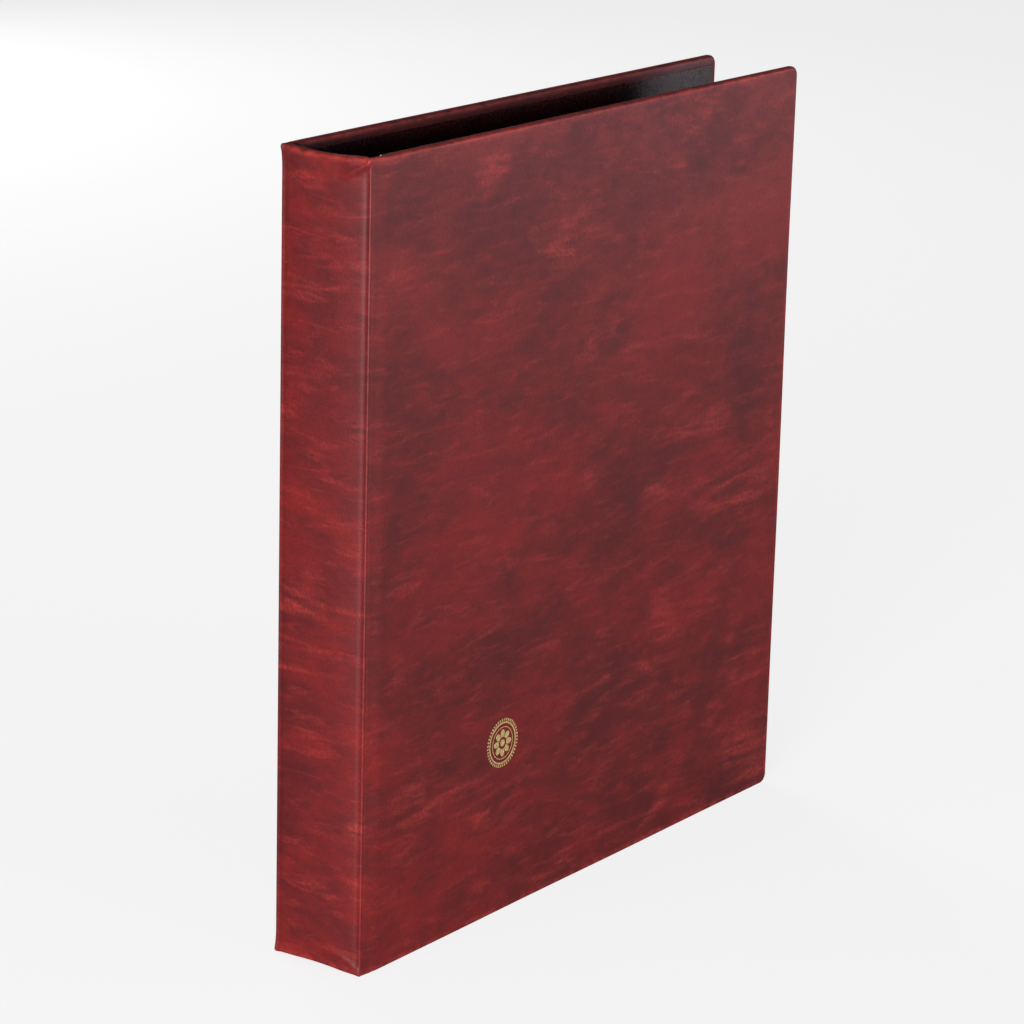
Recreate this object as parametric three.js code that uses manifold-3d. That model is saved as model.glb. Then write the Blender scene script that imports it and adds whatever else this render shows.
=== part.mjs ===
// A4 ring album for coins: a padded case of two covers and a spine, a four-ring mechanism with two
// press levers, and coin pages with interleaves hung on the rings. Units are millimetres, +Z is up,
// the spine faces -X, the front cover faces -Y, and the origin is the middle of the footprint.

import * as THREE from 'three';
import { mergeVertices } from 'three/addons/utils/BufferGeometryUtils.js';
import Module from 'manifold-3d';

const wasm = await Module();
wasm.setup();

// Driving dimensions of the closed album
const ALBUM_WIDTH = 285;
const ALBUM_DEPTH = 44;
const ALBUM_HEIGHT = 315;

// Case making: covering, board and lining are pressed together, with a small gap between solids
const COVERING = 0.6;
const BOARD = 2.0;
const LINING = 0.6;
const GAP = 0.3;
const PANEL = COVERING + GAP + BOARD + GAP + LINING;
const HINGE_STRIP = 9;
const HINGE_STRIP_THICKNESS = 1.5;
const TURN_IN = 4;
const CORNER_RADIUS = 4;

// Places of the case
const SPINE_X = -ALBUM_WIDTH / 2;
const SPINE_INSIDE_X = SPINE_X + PANEL;
const MIDDLE_Z = ALBUM_HEIGHT / 2;
const SPINE_HALF_WIDTH = ALBUM_DEPTH / 2 - HINGE_STRIP_THICKNESS - GAP;

// Ring mechanism, in a frame whose X is the height above the spine lining
const RING_SPACING = 80;
const RING_COUNT = 4;
const RING_RADIUS = 12.5;
const RING_WIRE_RADIUS = 1.5;
const RING_AXIS_HEIGHT = 12.2;
const RING_END_ANGLE = THREE.MathUtils.degToRad(133);
const RING_SIDES = 10;
const RING_STEPS = 16;

const HOUSING_LENGTH = 277;
const HOUSING_HALF_WIDTH = 12.5;
const HOUSING_CROWN = 7.0;
const HOUSING_SHOULDER = 3.4;
const HOUSING_SHEET = 0.8;
const HOUSING_LIP = 2.2;
const HOUSING_LIP_THICKNESS = 0.6;
const HOUSING_ARC_STEPS = 20;
const NOTCH_INNER_Y = 7.0;
const NOTCH_HALF_WIDTH = 2.4;

const RAIL_PIVOT_HEIGHT = 2;
const RAIL_PIVOT_Y = 10.8;
const RAIL_TILT = THREE.MathUtils.degToRad(5);
const BLADE_THICKNESS = 0.8;
const BLADE_REACH = (RAIL_PIVOT_Y - GAP / 2) / Math.cos(RAIL_TILT);
const BLADE_HEEL = 0.4;
const BLADE_LENGTH = 266;

const RIVET_SPACING = 160;
const RIVET_POST_RADIUS = 2.2;
const RIVET_HEAD_RADIUS = 3.4;
const RIVET_HEAD_SEAT = 6.9;
const RIVET_DOME = 0.6;
const RIVET_FOOT_RADIUS = 5;
const RIVET_FOOT_THICKNESS = 0.7;
const RIVET_RECESS_DEPTH = 1.1;

const LEVER_PIVOT_HEIGHT = 2.6;
const LEVER_PIVOT_INSET = 1.5;
const LEVER_WIDTH = 10;
const LEVER_SHEET = 1.0;
const LEVER_HEEL = 3.4;
const LEVER_TAB = 10;
const LEVER_TAB_ANGLE = THREE.MathUtils.degToRad(24);
const LEVER_BARREL_RADIUS = 1.9;
const LEVER_LIP_RADIUS = 0.8;
const PIN_RADIUS = 0.9;
const PIN_LENGTH = 20.6;

// Pages: punched A4-extra-wide sheets that hang on the front halves of the rings
const SHEET_WIDTH = 240;
const SHEET_HEIGHT = 297;
const SHEET_CORNER = 3;
const HOLE_RADIUS = 3;
const HOLE_MARGIN = 12;
const SHEET_SAG = 1.2;
const COIN_PAGE = 0.55;
const INTERLEAF = 0.3;
const PAGE_PAIRS = 3;

// How finely round shapes are cut, how far a cutting body runs past the body it cuts, and how close
// two corners must be to count as one
const CORNER_SEGMENTS = 6;
const HOLE_SEGMENTS = 10;
const BAR_SIDES = 20;
const DOME_STEPS = 3;
const OVERCUT = 1;
const WELD_DISTANCE = 1e-4;

function toSolid(geometry) {
  const bare = geometry.clone();
  bare.deleteAttribute('normal');
  bare.deleteAttribute('uv');
  const merged = mergeVertices(bare, WELD_DISTANCE);
  return new wasm.Manifold(new wasm.Mesh({
    numProp: 3,
    vertProperties: new Float32Array(merged.getAttribute('position').array),
    triVerts: new Uint32Array(merged.getIndex().array),
  }));
}

function toGeometry(solid) {
  const made = solid.getMesh();
  const geometry = new THREE.BufferGeometry();
  geometry.setAttribute('position', new THREE.BufferAttribute(new Float32Array(made.vertProperties), 3));
  geometry.setIndex(new THREE.BufferAttribute(new Uint32Array(made.triVerts), 1));
  geometry.computeVertexNormals();
  return geometry;
}

function boxBetween(low, high) {
  const size = high.map((value, i) => value - low[i]);
  const centre = high.map((value, i) => (value + low[i]) / 2);
  return toSolid(new THREE.BoxGeometry(...size).translate(...centre));
}

// A round bar along X
function barAlongX(radius, length, centre) {
  const bar = new THREE.CylinderGeometry(radius, radius, length, BAR_SIDES);
  return toSolid(bar.rotateZ(-Math.PI / 2).translate(...centre));
}

function finish(color, roughness, metalness) {
  return new THREE.MeshStandardMaterial({ color, roughness, metalness });
}

const FINISHES = {
  leatherette: () => finish(0x6e2226, 0.42, 0),
  lining: () => finish(0x4a1a1d, 0.5, 0),
  board: () => finish(0x8c857a, 0.9, 0),
  nickel: () => finish(0xc9c9c6, 0.22, 1),
  film: () => finish(0xdfe4e8, 0.12, 0),
  card: () => finish(0x1c1a1c, 0.85, 0),
};

function named(name, geometry, material) {
  const mesh = new THREE.Mesh(geometry, material);
  mesh.name = name;
  return mesh;
}

// An upright sheet outline in X (from the spine) and Y (up), rounded at its fore edge and, if asked,
// at its spine edge too
function uprightOutline(left, right, bottom, top, radius, spineRadius = 0) {
  const quarter = Math.PI / 2;
  const outline = new THREE.Shape();
  outline.absarc(right - radius, bottom + radius, radius, -quarter, 0, false);
  outline.absarc(right - radius, top - radius, radius, 0, quarter, false);
  if (spineRadius > 0) {
    const centre = left + spineRadius;
    outline.absarc(centre, top - spineRadius, spineRadius, quarter, 2 * quarter, false);
    outline.absarc(centre, bottom + spineRadius, spineRadius, 2 * quarter, 3 * quarter, false);
  } else {
    outline.lineTo(left, top);
    outline.lineTo(left, bottom);
  }
  outline.closePath();
  return outline;
}

// An outline made solid and stood up: its thickness runs from Y = face towards -Y
function standing(outline, thickness, face) {
  const slab = new THREE.ExtrudeGeometry(outline, {
    depth: thickness,
    bevelEnabled: false,
    curveSegments: CORNER_SEGMENTS,
  });
  return slab.rotateX(Math.PI / 2).translate(0, face, 0);
}

// Front cover in the row frame, as the list of its three layers
function coverLayers() {
  const outside = -ALBUM_DEPTH / 2;
  const inside = outside + PANEL;
  const boardStart = SPINE_X + HINGE_STRIP;
  const foreEdge = -SPINE_X;

  const envelope = toSolid(standing(
    uprightOutline(SPINE_X, foreEdge, 0, ALBUM_HEIGHT, CORNER_RADIUS), PANEL, inside));
  const stripRelief = boxBetween(
    [SPINE_X - OVERCUT, outside + HINGE_STRIP_THICKNESS, -OVERCUT],
    [boardStart - COVERING, inside + OVERCUT, ALBUM_HEIGHT + OVERCUT]);
  const pocketOutline = uprightOutline(
    boardStart, foreEdge - COVERING, COVERING, ALBUM_HEIGHT - COVERING, CORNER_RADIUS - COVERING);
  const pocket = toSolid(standing(pocketOutline, PANEL - COVERING - LINING, inside - LINING));
  const windowOutline = uprightOutline(
    boardStart, foreEdge - TURN_IN, TURN_IN, ALBUM_HEIGHT - TURN_IN, CORNER_RADIUS);
  const window = toSolid(standing(windowOutline, LINING * 2 + GAP, inside + LINING));
  const covering = envelope.subtract(stripRelief).subtract(pocket).subtract(window);

  const boardInset = COVERING + GAP;
  const board = standing(
    uprightOutline(boardStart + GAP, foreEdge - boardInset, boardInset, ALBUM_HEIGHT - boardInset,
      CORNER_RADIUS - boardInset), BOARD, inside - LINING - GAP);
  const liningInset = TURN_IN + GAP;
  const lining = standing(
    uprightOutline(boardStart + GAP, foreEdge - liningInset, liningInset, ALBUM_HEIGHT - liningInset,
      CORNER_RADIUS), LINING, inside);
  return { covering: toGeometry(covering), board, lining };
}

function cover(side) {
  const layers = coverLayers();
  const group = new THREE.Group();
  group.add(named(`${side}_leatherette`, layers.covering, FINISHES.leatherette()));
  group.add(named(`${side}_board`, layers.board, FINISHES.board()));
  group.add(named(`${side}_lining`, layers.lining, FINISHES.lining()));
  return group;
}

function rivetHeights() {
  return { lower: MIDDLE_Z - RIVET_SPACING / 2, upper: MIDDLE_Z + RIVET_SPACING / 2 };
}

// Spine in the mechanism's frame: X is 0 on the lining's face and -PANEL on the outside
function spine() {
  const group = new THREE.Group();
  const holes = Object.values(rivetHeights()).map((z) => barAlongX(
    RIVET_POST_RADIUS + GAP, 2 * PANEL, [0, 0, z]));

  const envelope = boxBetween(
    [-PANEL, -SPINE_HALF_WIDTH, 0], [0, SPINE_HALF_WIDTH, ALBUM_HEIGHT]);
  const wall = SPINE_HALF_WIDTH - COVERING;
  const pocket = boxBetween(
    [-PANEL + COVERING, -wall, COVERING], [-LINING, wall, ALBUM_HEIGHT - COVERING]);
  const window = boxBetween(
    [-2 * LINING, -wall, TURN_IN], [OVERCUT, wall, ALBUM_HEIGHT - TURN_IN]);
  const covering = envelope.subtract(pocket).subtract(window);
  group.add(named('spine_leatherette', toGeometry(covering), FINISHES.leatherette()));

  const boardBack = -PANEL + COVERING + GAP;
  let board = boxBetween(
    [boardBack, -wall + GAP, COVERING + GAP],
    [boardBack + BOARD, wall - GAP, ALBUM_HEIGHT - COVERING - GAP]);
  for (const [i, z] of Object.values(rivetHeights()).entries()) {
    const recess = barAlongX(
      RIVET_FOOT_RADIUS + 2 * GAP, 2 * RIVET_RECESS_DEPTH, [boardBack, 0, z]);
    board = board.subtract(recess).subtract(holes[i]);
  }
  group.add(named('spine_board', toGeometry(board), FINISHES.board()));

  let lining = boxBetween(
    [-LINING, -wall + GAP, TURN_IN + GAP],
    [0, wall - GAP, ALBUM_HEIGHT - TURN_IN - GAP]);
  for (const hole of holes) {
    lining = lining.subtract(hole);
  }
  group.add(named('spine_lining', toGeometry(lining), FINISHES.lining()));
  return group;
}

function ringHeights() {
  const first = MIDDLE_Z - RING_SPACING * (RING_COUNT - 1) / 2;
  return Array.from({ length: RING_COUNT }, (_, i) => first + RING_SPACING * i);
}

// Channel of arched steel sheet with two curled lips, notched where the rings come out
function housing() {
  const rise = HOUSING_CROWN - HOUSING_SHOULDER;
  const radius = (HOUSING_HALF_WIDTH ** 2 + rise ** 2) / (2 * rise);
  const centre = HOUSING_CROWN - radius;
  const insideHalfWidth = HOUSING_HALF_WIDTH - HOUSING_SHEET;
  const lipTop = GAP + HOUSING_LIP_THICKNESS;
  const lipEdge = HOUSING_HALF_WIDTH - HOUSING_LIP;
  const arc = (r, halfWidth, direction) => Array.from({ length: HOUSING_ARC_STEPS + 1 }, (_, i) => {
    const angle = direction * Math.asin(halfWidth / r) * (2 * i / HOUSING_ARC_STEPS - 1);
    return new THREE.Vector2(centre + r * Math.cos(angle), r * Math.sin(angle));
  });
  const section = new THREE.Shape([
    new THREE.Vector2(GAP, -HOUSING_HALF_WIDTH),
    ...arc(radius, HOUSING_HALF_WIDTH, 1),
    new THREE.Vector2(GAP, HOUSING_HALF_WIDTH),
    new THREE.Vector2(GAP, lipEdge),
    new THREE.Vector2(lipTop, lipEdge),
    new THREE.Vector2(lipTop, insideHalfWidth),
    ...arc(radius - HOUSING_SHEET, insideHalfWidth, -1),
    new THREE.Vector2(lipTop, -insideHalfWidth),
    new THREE.Vector2(lipTop, -lipEdge),
    new THREE.Vector2(GAP, -lipEdge),
  ]);
  const length = new THREE.ExtrudeGeometry(section, { depth: HOUSING_LENGTH, bevelEnabled: false });
  let solid = toSolid(length.translate(0, 0, MIDDLE_Z - HOUSING_LENGTH / 2));
  for (const z of ringHeights()) {
    for (const side of [-1, 1]) {
      const near = side * NOTCH_INNER_Y;
      const far = side * (HOUSING_HALF_WIDTH + OVERCUT);
      solid = solid.subtract(boxBetween(
        [0, Math.min(near, far), z - NOTCH_HALF_WIDTH],
        [HOUSING_CROWN, Math.max(near, far), z + NOTCH_HALF_WIDTH]));
    }
  }
  for (const z of Object.values(rivetHeights())) {
    const hole = barAlongX(RIVET_POST_RADIUS + GAP, 2 * HOUSING_CROWN, [HOUSING_CROWN, 0, z]);
    const seat = barAlongX(
      RIVET_HEAD_RADIUS + GAP, OVERCUT, [RIVET_HEAD_SEAT - GAP + OVERCUT / 2, 0, z]);
    solid = solid.subtract(hole).subtract(seat);
  }
  return named('ring_housing', toGeometry(solid), FINISHES.nickel());
}

// Domed head on the housing, post through the spine, clinched foot sunk in the board
function rivet(name, z) {
  const footTop = -PANEL + COVERING + GAP + RIVET_FOOT_THICKNESS;
  const footBottom = footTop - RIVET_FOOT_THICKNESS;
  const profile = [
    new THREE.Vector2(0, footBottom),
    new THREE.Vector2(RIVET_FOOT_RADIUS, footBottom),
    new THREE.Vector2(RIVET_FOOT_RADIUS, footTop),
    new THREE.Vector2(RIVET_POST_RADIUS, footTop),
    new THREE.Vector2(RIVET_POST_RADIUS, RIVET_HEAD_SEAT),
  ];
  for (let step = 0; step < DOME_STEPS; step += 1) {
    const angle = step / DOME_STEPS * Math.PI / 2;
    profile.push(new THREE.Vector2(
      RIVET_HEAD_RADIUS * Math.cos(angle), RIVET_HEAD_SEAT + RIVET_DOME * Math.sin(angle)));
  }
  profile.push(new THREE.Vector2(0, RIVET_HEAD_SEAT + RIVET_DOME));
  const mesh = named(name, new THREE.LatheGeometry(profile, BAR_SIDES), FINISHES.nickel());
  mesh.rotation.z = -Math.PI / 2;
  mesh.position.z = z;
  return mesh;
}

// Centre line of one half ring: from the tip at the top of the ring down into the housing
class HalfRing extends THREE.Curve {
  constructor(side) {
    super();
    this.side = side;
  }

  getPoint(t, target = new THREE.Vector3()) {
    const tipAngle = GAP / 2 / RING_RADIUS;
    const angle = tipAngle + (RING_END_ANGLE - tipAngle) * t;
    return target.set(
      RING_AXIS_HEIGHT + RING_RADIUS * Math.cos(angle),
      this.side * RING_RADIUS * Math.sin(angle),
      0,
    );
  }
}

function wireSection() {
  return new THREE.Shape(Array.from({ length: RING_SIDES }, (_, i) => {
    const angle = 2 * Math.PI * i / RING_SIDES;
    return new THREE.Vector2(RING_WIRE_RADIUS * Math.cos(angle), RING_WIRE_RADIUS * Math.sin(angle));
  }));
}

// Blade that carries four half rings; its outer edge rocks in the housing's lip
function blade() {
  let plate = boxBetween(
    [-BLADE_THICKNESS / 2, -BLADE_HEEL, MIDDLE_Z - BLADE_LENGTH / 2],
    [BLADE_THICKNESS / 2, BLADE_REACH, MIDDLE_Z + BLADE_LENGTH / 2]);
  for (const z of Object.values(rivetHeights())) {
    plate = plate.subtract(barAlongX(
      RIVET_POST_RADIUS + 3 * GAP, 4 * BLADE_THICKNESS, [0, RAIL_PIVOT_Y, z]));
  }
  return plate;
}

function ringRail(side) {
  const sign = side === 'front' ? -1 : 1;
  const group = new THREE.Group();
  const plate = named(`${side}_blade`, toGeometry(blade()), FINISHES.nickel());
  plate.position.set(RAIL_PIVOT_HEIGHT, sign * RAIL_PIVOT_Y, 0);
  plate.rotation.z = RAIL_TILT;
  if (side === 'back') {
    plate.rotation.set(Math.PI, 0, RAIL_TILT);
    plate.position.z = ALBUM_HEIGHT;
  }
  group.add(plate);
  ringHeights().forEach((z, i) => {
    const wire = new THREE.ExtrudeGeometry(wireSection(), {
      steps: RING_STEPS,
      bevelEnabled: false,
      extrudePath: new HalfRing(sign),
    });
    const ring = named(`${side}_half_ring_${i + 1}`, wire, FINISHES.nickel());
    ring.position.z = z;
    group.add(ring);
  });
  return group;
}

// Press lever: heel under the housing, barrel round its pin, and a raised tab with a rolled lip.
// Its own frame has X pointing out of the housing, Y away from the spine and Z across.
function lever(name, outward) {
  const half = LEVER_WIDTH / 2;
  const sheet = LEVER_SHEET / 2;
  const tab = new THREE.BoxGeometry(LEVER_TAB, LEVER_SHEET, LEVER_WIDTH)
    .translate(LEVER_TAB / 2, 0, 0)
    .rotateZ(LEVER_TAB_ANGLE);
  const roundBar = (radius, length) => new THREE.CylinderGeometry(
    radius, radius, length, BAR_SIDES).rotateX(Math.PI / 2);
  const lip = roundBar(LEVER_LIP_RADIUS, LEVER_WIDTH)
    .translate(LEVER_TAB * Math.cos(LEVER_TAB_ANGLE), LEVER_TAB * Math.sin(LEVER_TAB_ANGLE), 0);
  const solid = boxBetween([-LEVER_HEEL, -sheet, -half], [0, sheet, half])
    .add(toSolid(tab))
    .add(toSolid(lip))
    .add(toSolid(roundBar(LEVER_BARREL_RADIUS, LEVER_WIDTH)))
    .subtract(toSolid(roundBar(PIN_RADIUS + GAP, 2 * LEVER_WIDTH)));
  const mesh = named(name, toGeometry(solid), FINISHES.nickel());
  const away = new THREE.Vector3(0, 0, outward);
  const up = new THREE.Vector3(1, 0, 0);
  const across = new THREE.Vector3().crossVectors(away, up);
  mesh.quaternion.setFromRotationMatrix(new THREE.Matrix4().makeBasis(away, up, across));
  mesh.position.set(LEVER_PIVOT_HEIGHT, 0, leverPivotZ(outward));
  return mesh;
}

function leverPivotZ(outward) {
  return MIDDLE_Z + outward * (HOUSING_LENGTH / 2 - LEVER_PIVOT_INSET);
}

function leverPin(name, outward) {
  const bar = new THREE.CylinderGeometry(PIN_RADIUS, PIN_RADIUS, PIN_LENGTH, BAR_SIDES);
  const pin = named(name, bar, FINISHES.nickel());
  pin.position.set(LEVER_PIVOT_HEIGHT, 0, leverPivotZ(outward));
  return pin;
}

function mechanism() {
  const group = new THREE.Group();
  group.add(housing());
  for (const [end, z] of Object.entries(rivetHeights())) {
    group.add(rivet(`housing_rivet_${end}`, z));
  }
  group.add(ringRail('front'), ringRail('back'));
  for (const [end, outward] of [['lower', -1], ['upper', 1]]) {
    group.add(lever(`${end}_lever`, outward), leverPin(`${end}_lever_pin`, outward));
  }
  return group;
}

// One punched sheet, in the mechanism's frame, whose middle plane lies at Y = offset
function punchedSheet(name, thickness, offset, material) {
  const outline = uprightOutline(
    0, SHEET_WIDTH, 0, SHEET_HEIGHT, SHEET_CORNER, SHEET_CORNER);
  for (const z of ringHeights()) {
    const hole = new THREE.Path();
    hole.absarc(HOLE_MARGIN, z - MIDDLE_Z + SHEET_HEIGHT / 2, HOLE_RADIUS, 0, 2 * Math.PI, true);
    outline.holes.push(hole);
  }
  const flat = new THREE.ExtrudeGeometry(outline, {
    depth: thickness,
    bevelEnabled: false,
    curveSegments: HOLE_SEGMENTS,
  });
  const sheet = named(name, flat, material);
  const holeHeight = RING_AXIS_HEIGHT + Math.sqrt(RING_RADIUS ** 2 - offset ** 2);
  sheet.rotation.x = Math.PI / 2;
  sheet.position.set(
    holeHeight - HOLE_MARGIN,
    offset + thickness / 2,
    MIDDLE_Z - SHEET_HEIGHT / 2 - SHEET_SAG,
  );
  return sheet;
}

// The stack is built from its last sheet, beside the ring tips, towards the front cover
function pages() {
  const group = new THREE.Group();
  let face = -GAP;
  for (let i = PAGE_PAIRS; i > 0; i -= 1) {
    group.add(punchedSheet(`interleaf_${i}`, INTERLEAF, face - INTERLEAF / 2, FINISHES.card()));
    face -= INTERLEAF + GAP;
    group.add(punchedSheet(`coin_page_${i}`, COIN_PAGE, face - COIN_PAGE / 2, FINISHES.film()));
    face -= COIN_PAGE + GAP;
  }
  return group;
}

const album = new THREE.Group();

const frontCover = cover('front');
const backCover = cover('back');
backCover.rotation.x = Math.PI;
backCover.position.z = ALBUM_HEIGHT;

const spineSide = new THREE.Group();
spineSide.position.x = SPINE_INSIDE_X;
spineSide.add(spine(), mechanism(), pages());

album.add(frontCover, backCover, spineSide);

export default album;
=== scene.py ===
"""Looks for a ring album for coins: marbled leatherette case, nickel rings, coin pages, foil stamp."""

import math
from contextlib import contextmanager

import bmesh
import bpy
import numpy as np
from mathutils import Matrix, Vector


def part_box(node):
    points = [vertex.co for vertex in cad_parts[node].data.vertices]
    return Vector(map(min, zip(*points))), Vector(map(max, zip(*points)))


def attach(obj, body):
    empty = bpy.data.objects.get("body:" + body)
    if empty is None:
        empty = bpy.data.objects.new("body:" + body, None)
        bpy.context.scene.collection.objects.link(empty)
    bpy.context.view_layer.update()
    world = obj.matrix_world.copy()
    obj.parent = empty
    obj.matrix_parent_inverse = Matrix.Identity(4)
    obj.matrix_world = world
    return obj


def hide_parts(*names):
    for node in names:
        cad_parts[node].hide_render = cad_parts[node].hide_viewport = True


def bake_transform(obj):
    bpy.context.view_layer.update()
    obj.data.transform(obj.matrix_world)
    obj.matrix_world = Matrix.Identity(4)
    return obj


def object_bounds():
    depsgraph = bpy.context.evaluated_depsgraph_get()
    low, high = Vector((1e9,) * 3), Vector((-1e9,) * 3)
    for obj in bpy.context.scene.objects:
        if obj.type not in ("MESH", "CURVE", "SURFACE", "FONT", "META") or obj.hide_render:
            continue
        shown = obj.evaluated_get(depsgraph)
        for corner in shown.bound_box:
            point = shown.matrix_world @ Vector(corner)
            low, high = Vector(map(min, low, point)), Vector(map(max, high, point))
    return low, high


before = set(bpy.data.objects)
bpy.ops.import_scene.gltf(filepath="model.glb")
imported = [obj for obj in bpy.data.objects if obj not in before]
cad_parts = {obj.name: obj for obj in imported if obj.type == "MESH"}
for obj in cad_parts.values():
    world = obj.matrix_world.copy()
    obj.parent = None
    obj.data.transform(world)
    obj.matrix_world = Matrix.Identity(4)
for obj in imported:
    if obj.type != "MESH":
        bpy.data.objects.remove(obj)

bl_info = {
    "name": "Coin album",
    "version": (1, 0, 0),
    "blender": (4, 5, 0),
    "location": "View3D > Sidebar > Coin album",
    "description": "Builds the looks of a ring album for coins around its CAD frame",
    "category": "Object",
}

MM = 0.001
CAD_LOW, CAD_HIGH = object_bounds()
ALBUM_WIDTH = CAD_HIGH.x - CAD_LOW.x
ALBUM_DEPTH = CAD_HIGH.y - CAD_LOW.y
ALBUM_HEIGHT = CAD_HIGH.z - CAD_LOW.z
SPINE_X = CAD_LOW.x
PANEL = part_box("front_leatherette")[1].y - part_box("front_leatherette")[0].y
SPINE_FACE_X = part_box("spine_lining")[1].x
HINGE_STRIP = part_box("front_board")[0].x - SPINE_X

# Smooth surfaces are sampled at about these steps
FINE = 0.35 * MM
COARSE = 4.0 * MM

SIDES = {-1: "front", 1: "back"}
LEVERS = {"lower": -1, "upper": 1}
RING_NUMBERS = (1, 2, 3, 4)
SHEET_NUMBERS = (1, 2, 3)


def smooth(t):
    """0 below 0, 1 above 1, and an even slope change between."""
    t = np.clip(t, 0.0, 1.0)
    return t * t * (3 - 2 * t)


def bell(t):
    """A hump of height 1 at t = 0 that has died away by about t = 2."""
    return np.exp(-(t**2))


# ---------------------------------------------------------------- sizes and colours


class CaseSizes(bpy.types.PropertyGroup):
    """The leatherette case"""

    covering: bpy.props.FloatProperty(
        name="Covering", description="Thickness of the leatherette", default=0.55 * MM, unit="LENGTH"
    )
    edge: bpy.props.FloatProperty(
        name="Edge radius", description="Rounding of a covered board edge", default=1.25 * MM, unit="LENGTH"
    )
    corner: bpy.props.FloatProperty(
        name="Corner radius", description="Rounding of the fore edge corners", default=4.0 * MM, unit="LENGTH"
    )
    joint: bpy.props.FloatProperty(
        name="Joint radius", description="Rounding where spine meets cover", default=2.0 * MM, unit="LENGTH"
    )
    turn_in: bpy.props.FloatProperty(
        name="Turn-in", description="Leatherette folded to the inside", default=15 * MM, unit="LENGTH"
    )
    margin: bpy.props.FloatProperty(
        name="Lining margin", description="Leatherette left bare round the lining",
        default=4 * MM, unit="LENGTH"
    )
    dark: bpy.props.FloatVectorProperty(
        name="Dark wine", description="Leatherette in its dark clouds", default=(0.066, 0.0052, 0.0062),
        size=3, subtype="COLOR"
    )
    wine: bpy.props.FloatVectorProperty(
        name="Wine", description="Leatherette between the clouds", default=(0.165, 0.0105, 0.0098),
        size=3, subtype="COLOR"
    )
    vein: bpy.props.FloatVectorProperty(
        name="Vein", description="Leatherette along its light veins", default=(0.36, 0.034, 0.028),
        size=3, subtype="COLOR"
    )
    lining: bpy.props.FloatVectorProperty(
        name="Lining", description="Smooth inside lining", default=(0.034, 0.0030, 0.0042),
        size=3, subtype="COLOR"
    )
    board: bpy.props.FloatVectorProperty(
        name="Board", description="Grey binder's board", default=(0.27, 0.245, 0.21),
        size=3, subtype="COLOR"
    )


class RingSizes(bpy.types.PropertyGroup):
    """The ring mechanism"""

    wire: bpy.props.FloatProperty(
        name="Ring wire", description="Radius of the ring wire", default=1.5 * MM, unit="LENGTH"
    )
    nickel: bpy.props.FloatVectorProperty(
        name="Nickel", description="Bright nickel plate", default=(0.66, 0.64, 0.60),
        size=3, subtype="COLOR"
    )


class PageSizes(bpy.types.PropertyGroup):
    """Coin pages and interleaves"""

    columns: bpy.props.IntProperty(name="Columns", description="Pockets across a page", default=4)
    rows: bpy.props.IntProperty(name="Rows", description="Pockets up a page", default=5)
    weld: bpy.props.FloatProperty(
        name="Weld", description="Width of a welded seam", default=2.4 * MM, unit="LENGTH"
    )
    strip: bpy.props.FloatProperty(
        name="Binding strip", description="Punched strip along the rings", default=22 * MM, unit="LENGTH"
    )
    film: bpy.props.FloatVectorProperty(
        name="Film", description="Clear pocket film", default=(0.62, 0.65, 0.68), size=3, subtype="COLOR"
    )
    card: bpy.props.FloatVectorProperty(
        name="Card", description="Interleaf card", default=(0.018, 0.016, 0.018), size=3, subtype="COLOR"
    )


class StampSizes(bpy.types.PropertyGroup):
    """The foil stamp on the front cover"""

    radius: bpy.props.FloatProperty(
        name="Radius", description="Outer radius of the roundel", default=10 * MM, unit="LENGTH"
    )
    from_spine: bpy.props.FloatProperty(
        name="From spine", description="Centre of the stamp from the spine", default=88 * MM, unit="LENGTH"
    )
    height: bpy.props.FloatProperty(
        name="Height", description="Centre of the stamp above the foot", default=71 * MM, unit="LENGTH"
    )
    gold: bpy.props.FloatVectorProperty(
        name="Gold", description="Gold foil", default=(0.78, 0.60, 0.26), size=3, subtype="COLOR"
    )


def case_sizes():
    """The sizes and colours of the case, as set in the scene."""
    return bpy.context.scene.album_case


def ring_sizes():
    """The sizes and colours of the ring mechanism."""
    return bpy.context.scene.album_rings


def page_sizes():
    """The sizes and colours of the sheets."""
    return bpy.context.scene.album_pages


def stamp_sizes():
    """The size, place and colour of the stamp."""
    return bpy.context.scene.album_stamp


# ---------------------------------------------------------------- node helpers


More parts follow.
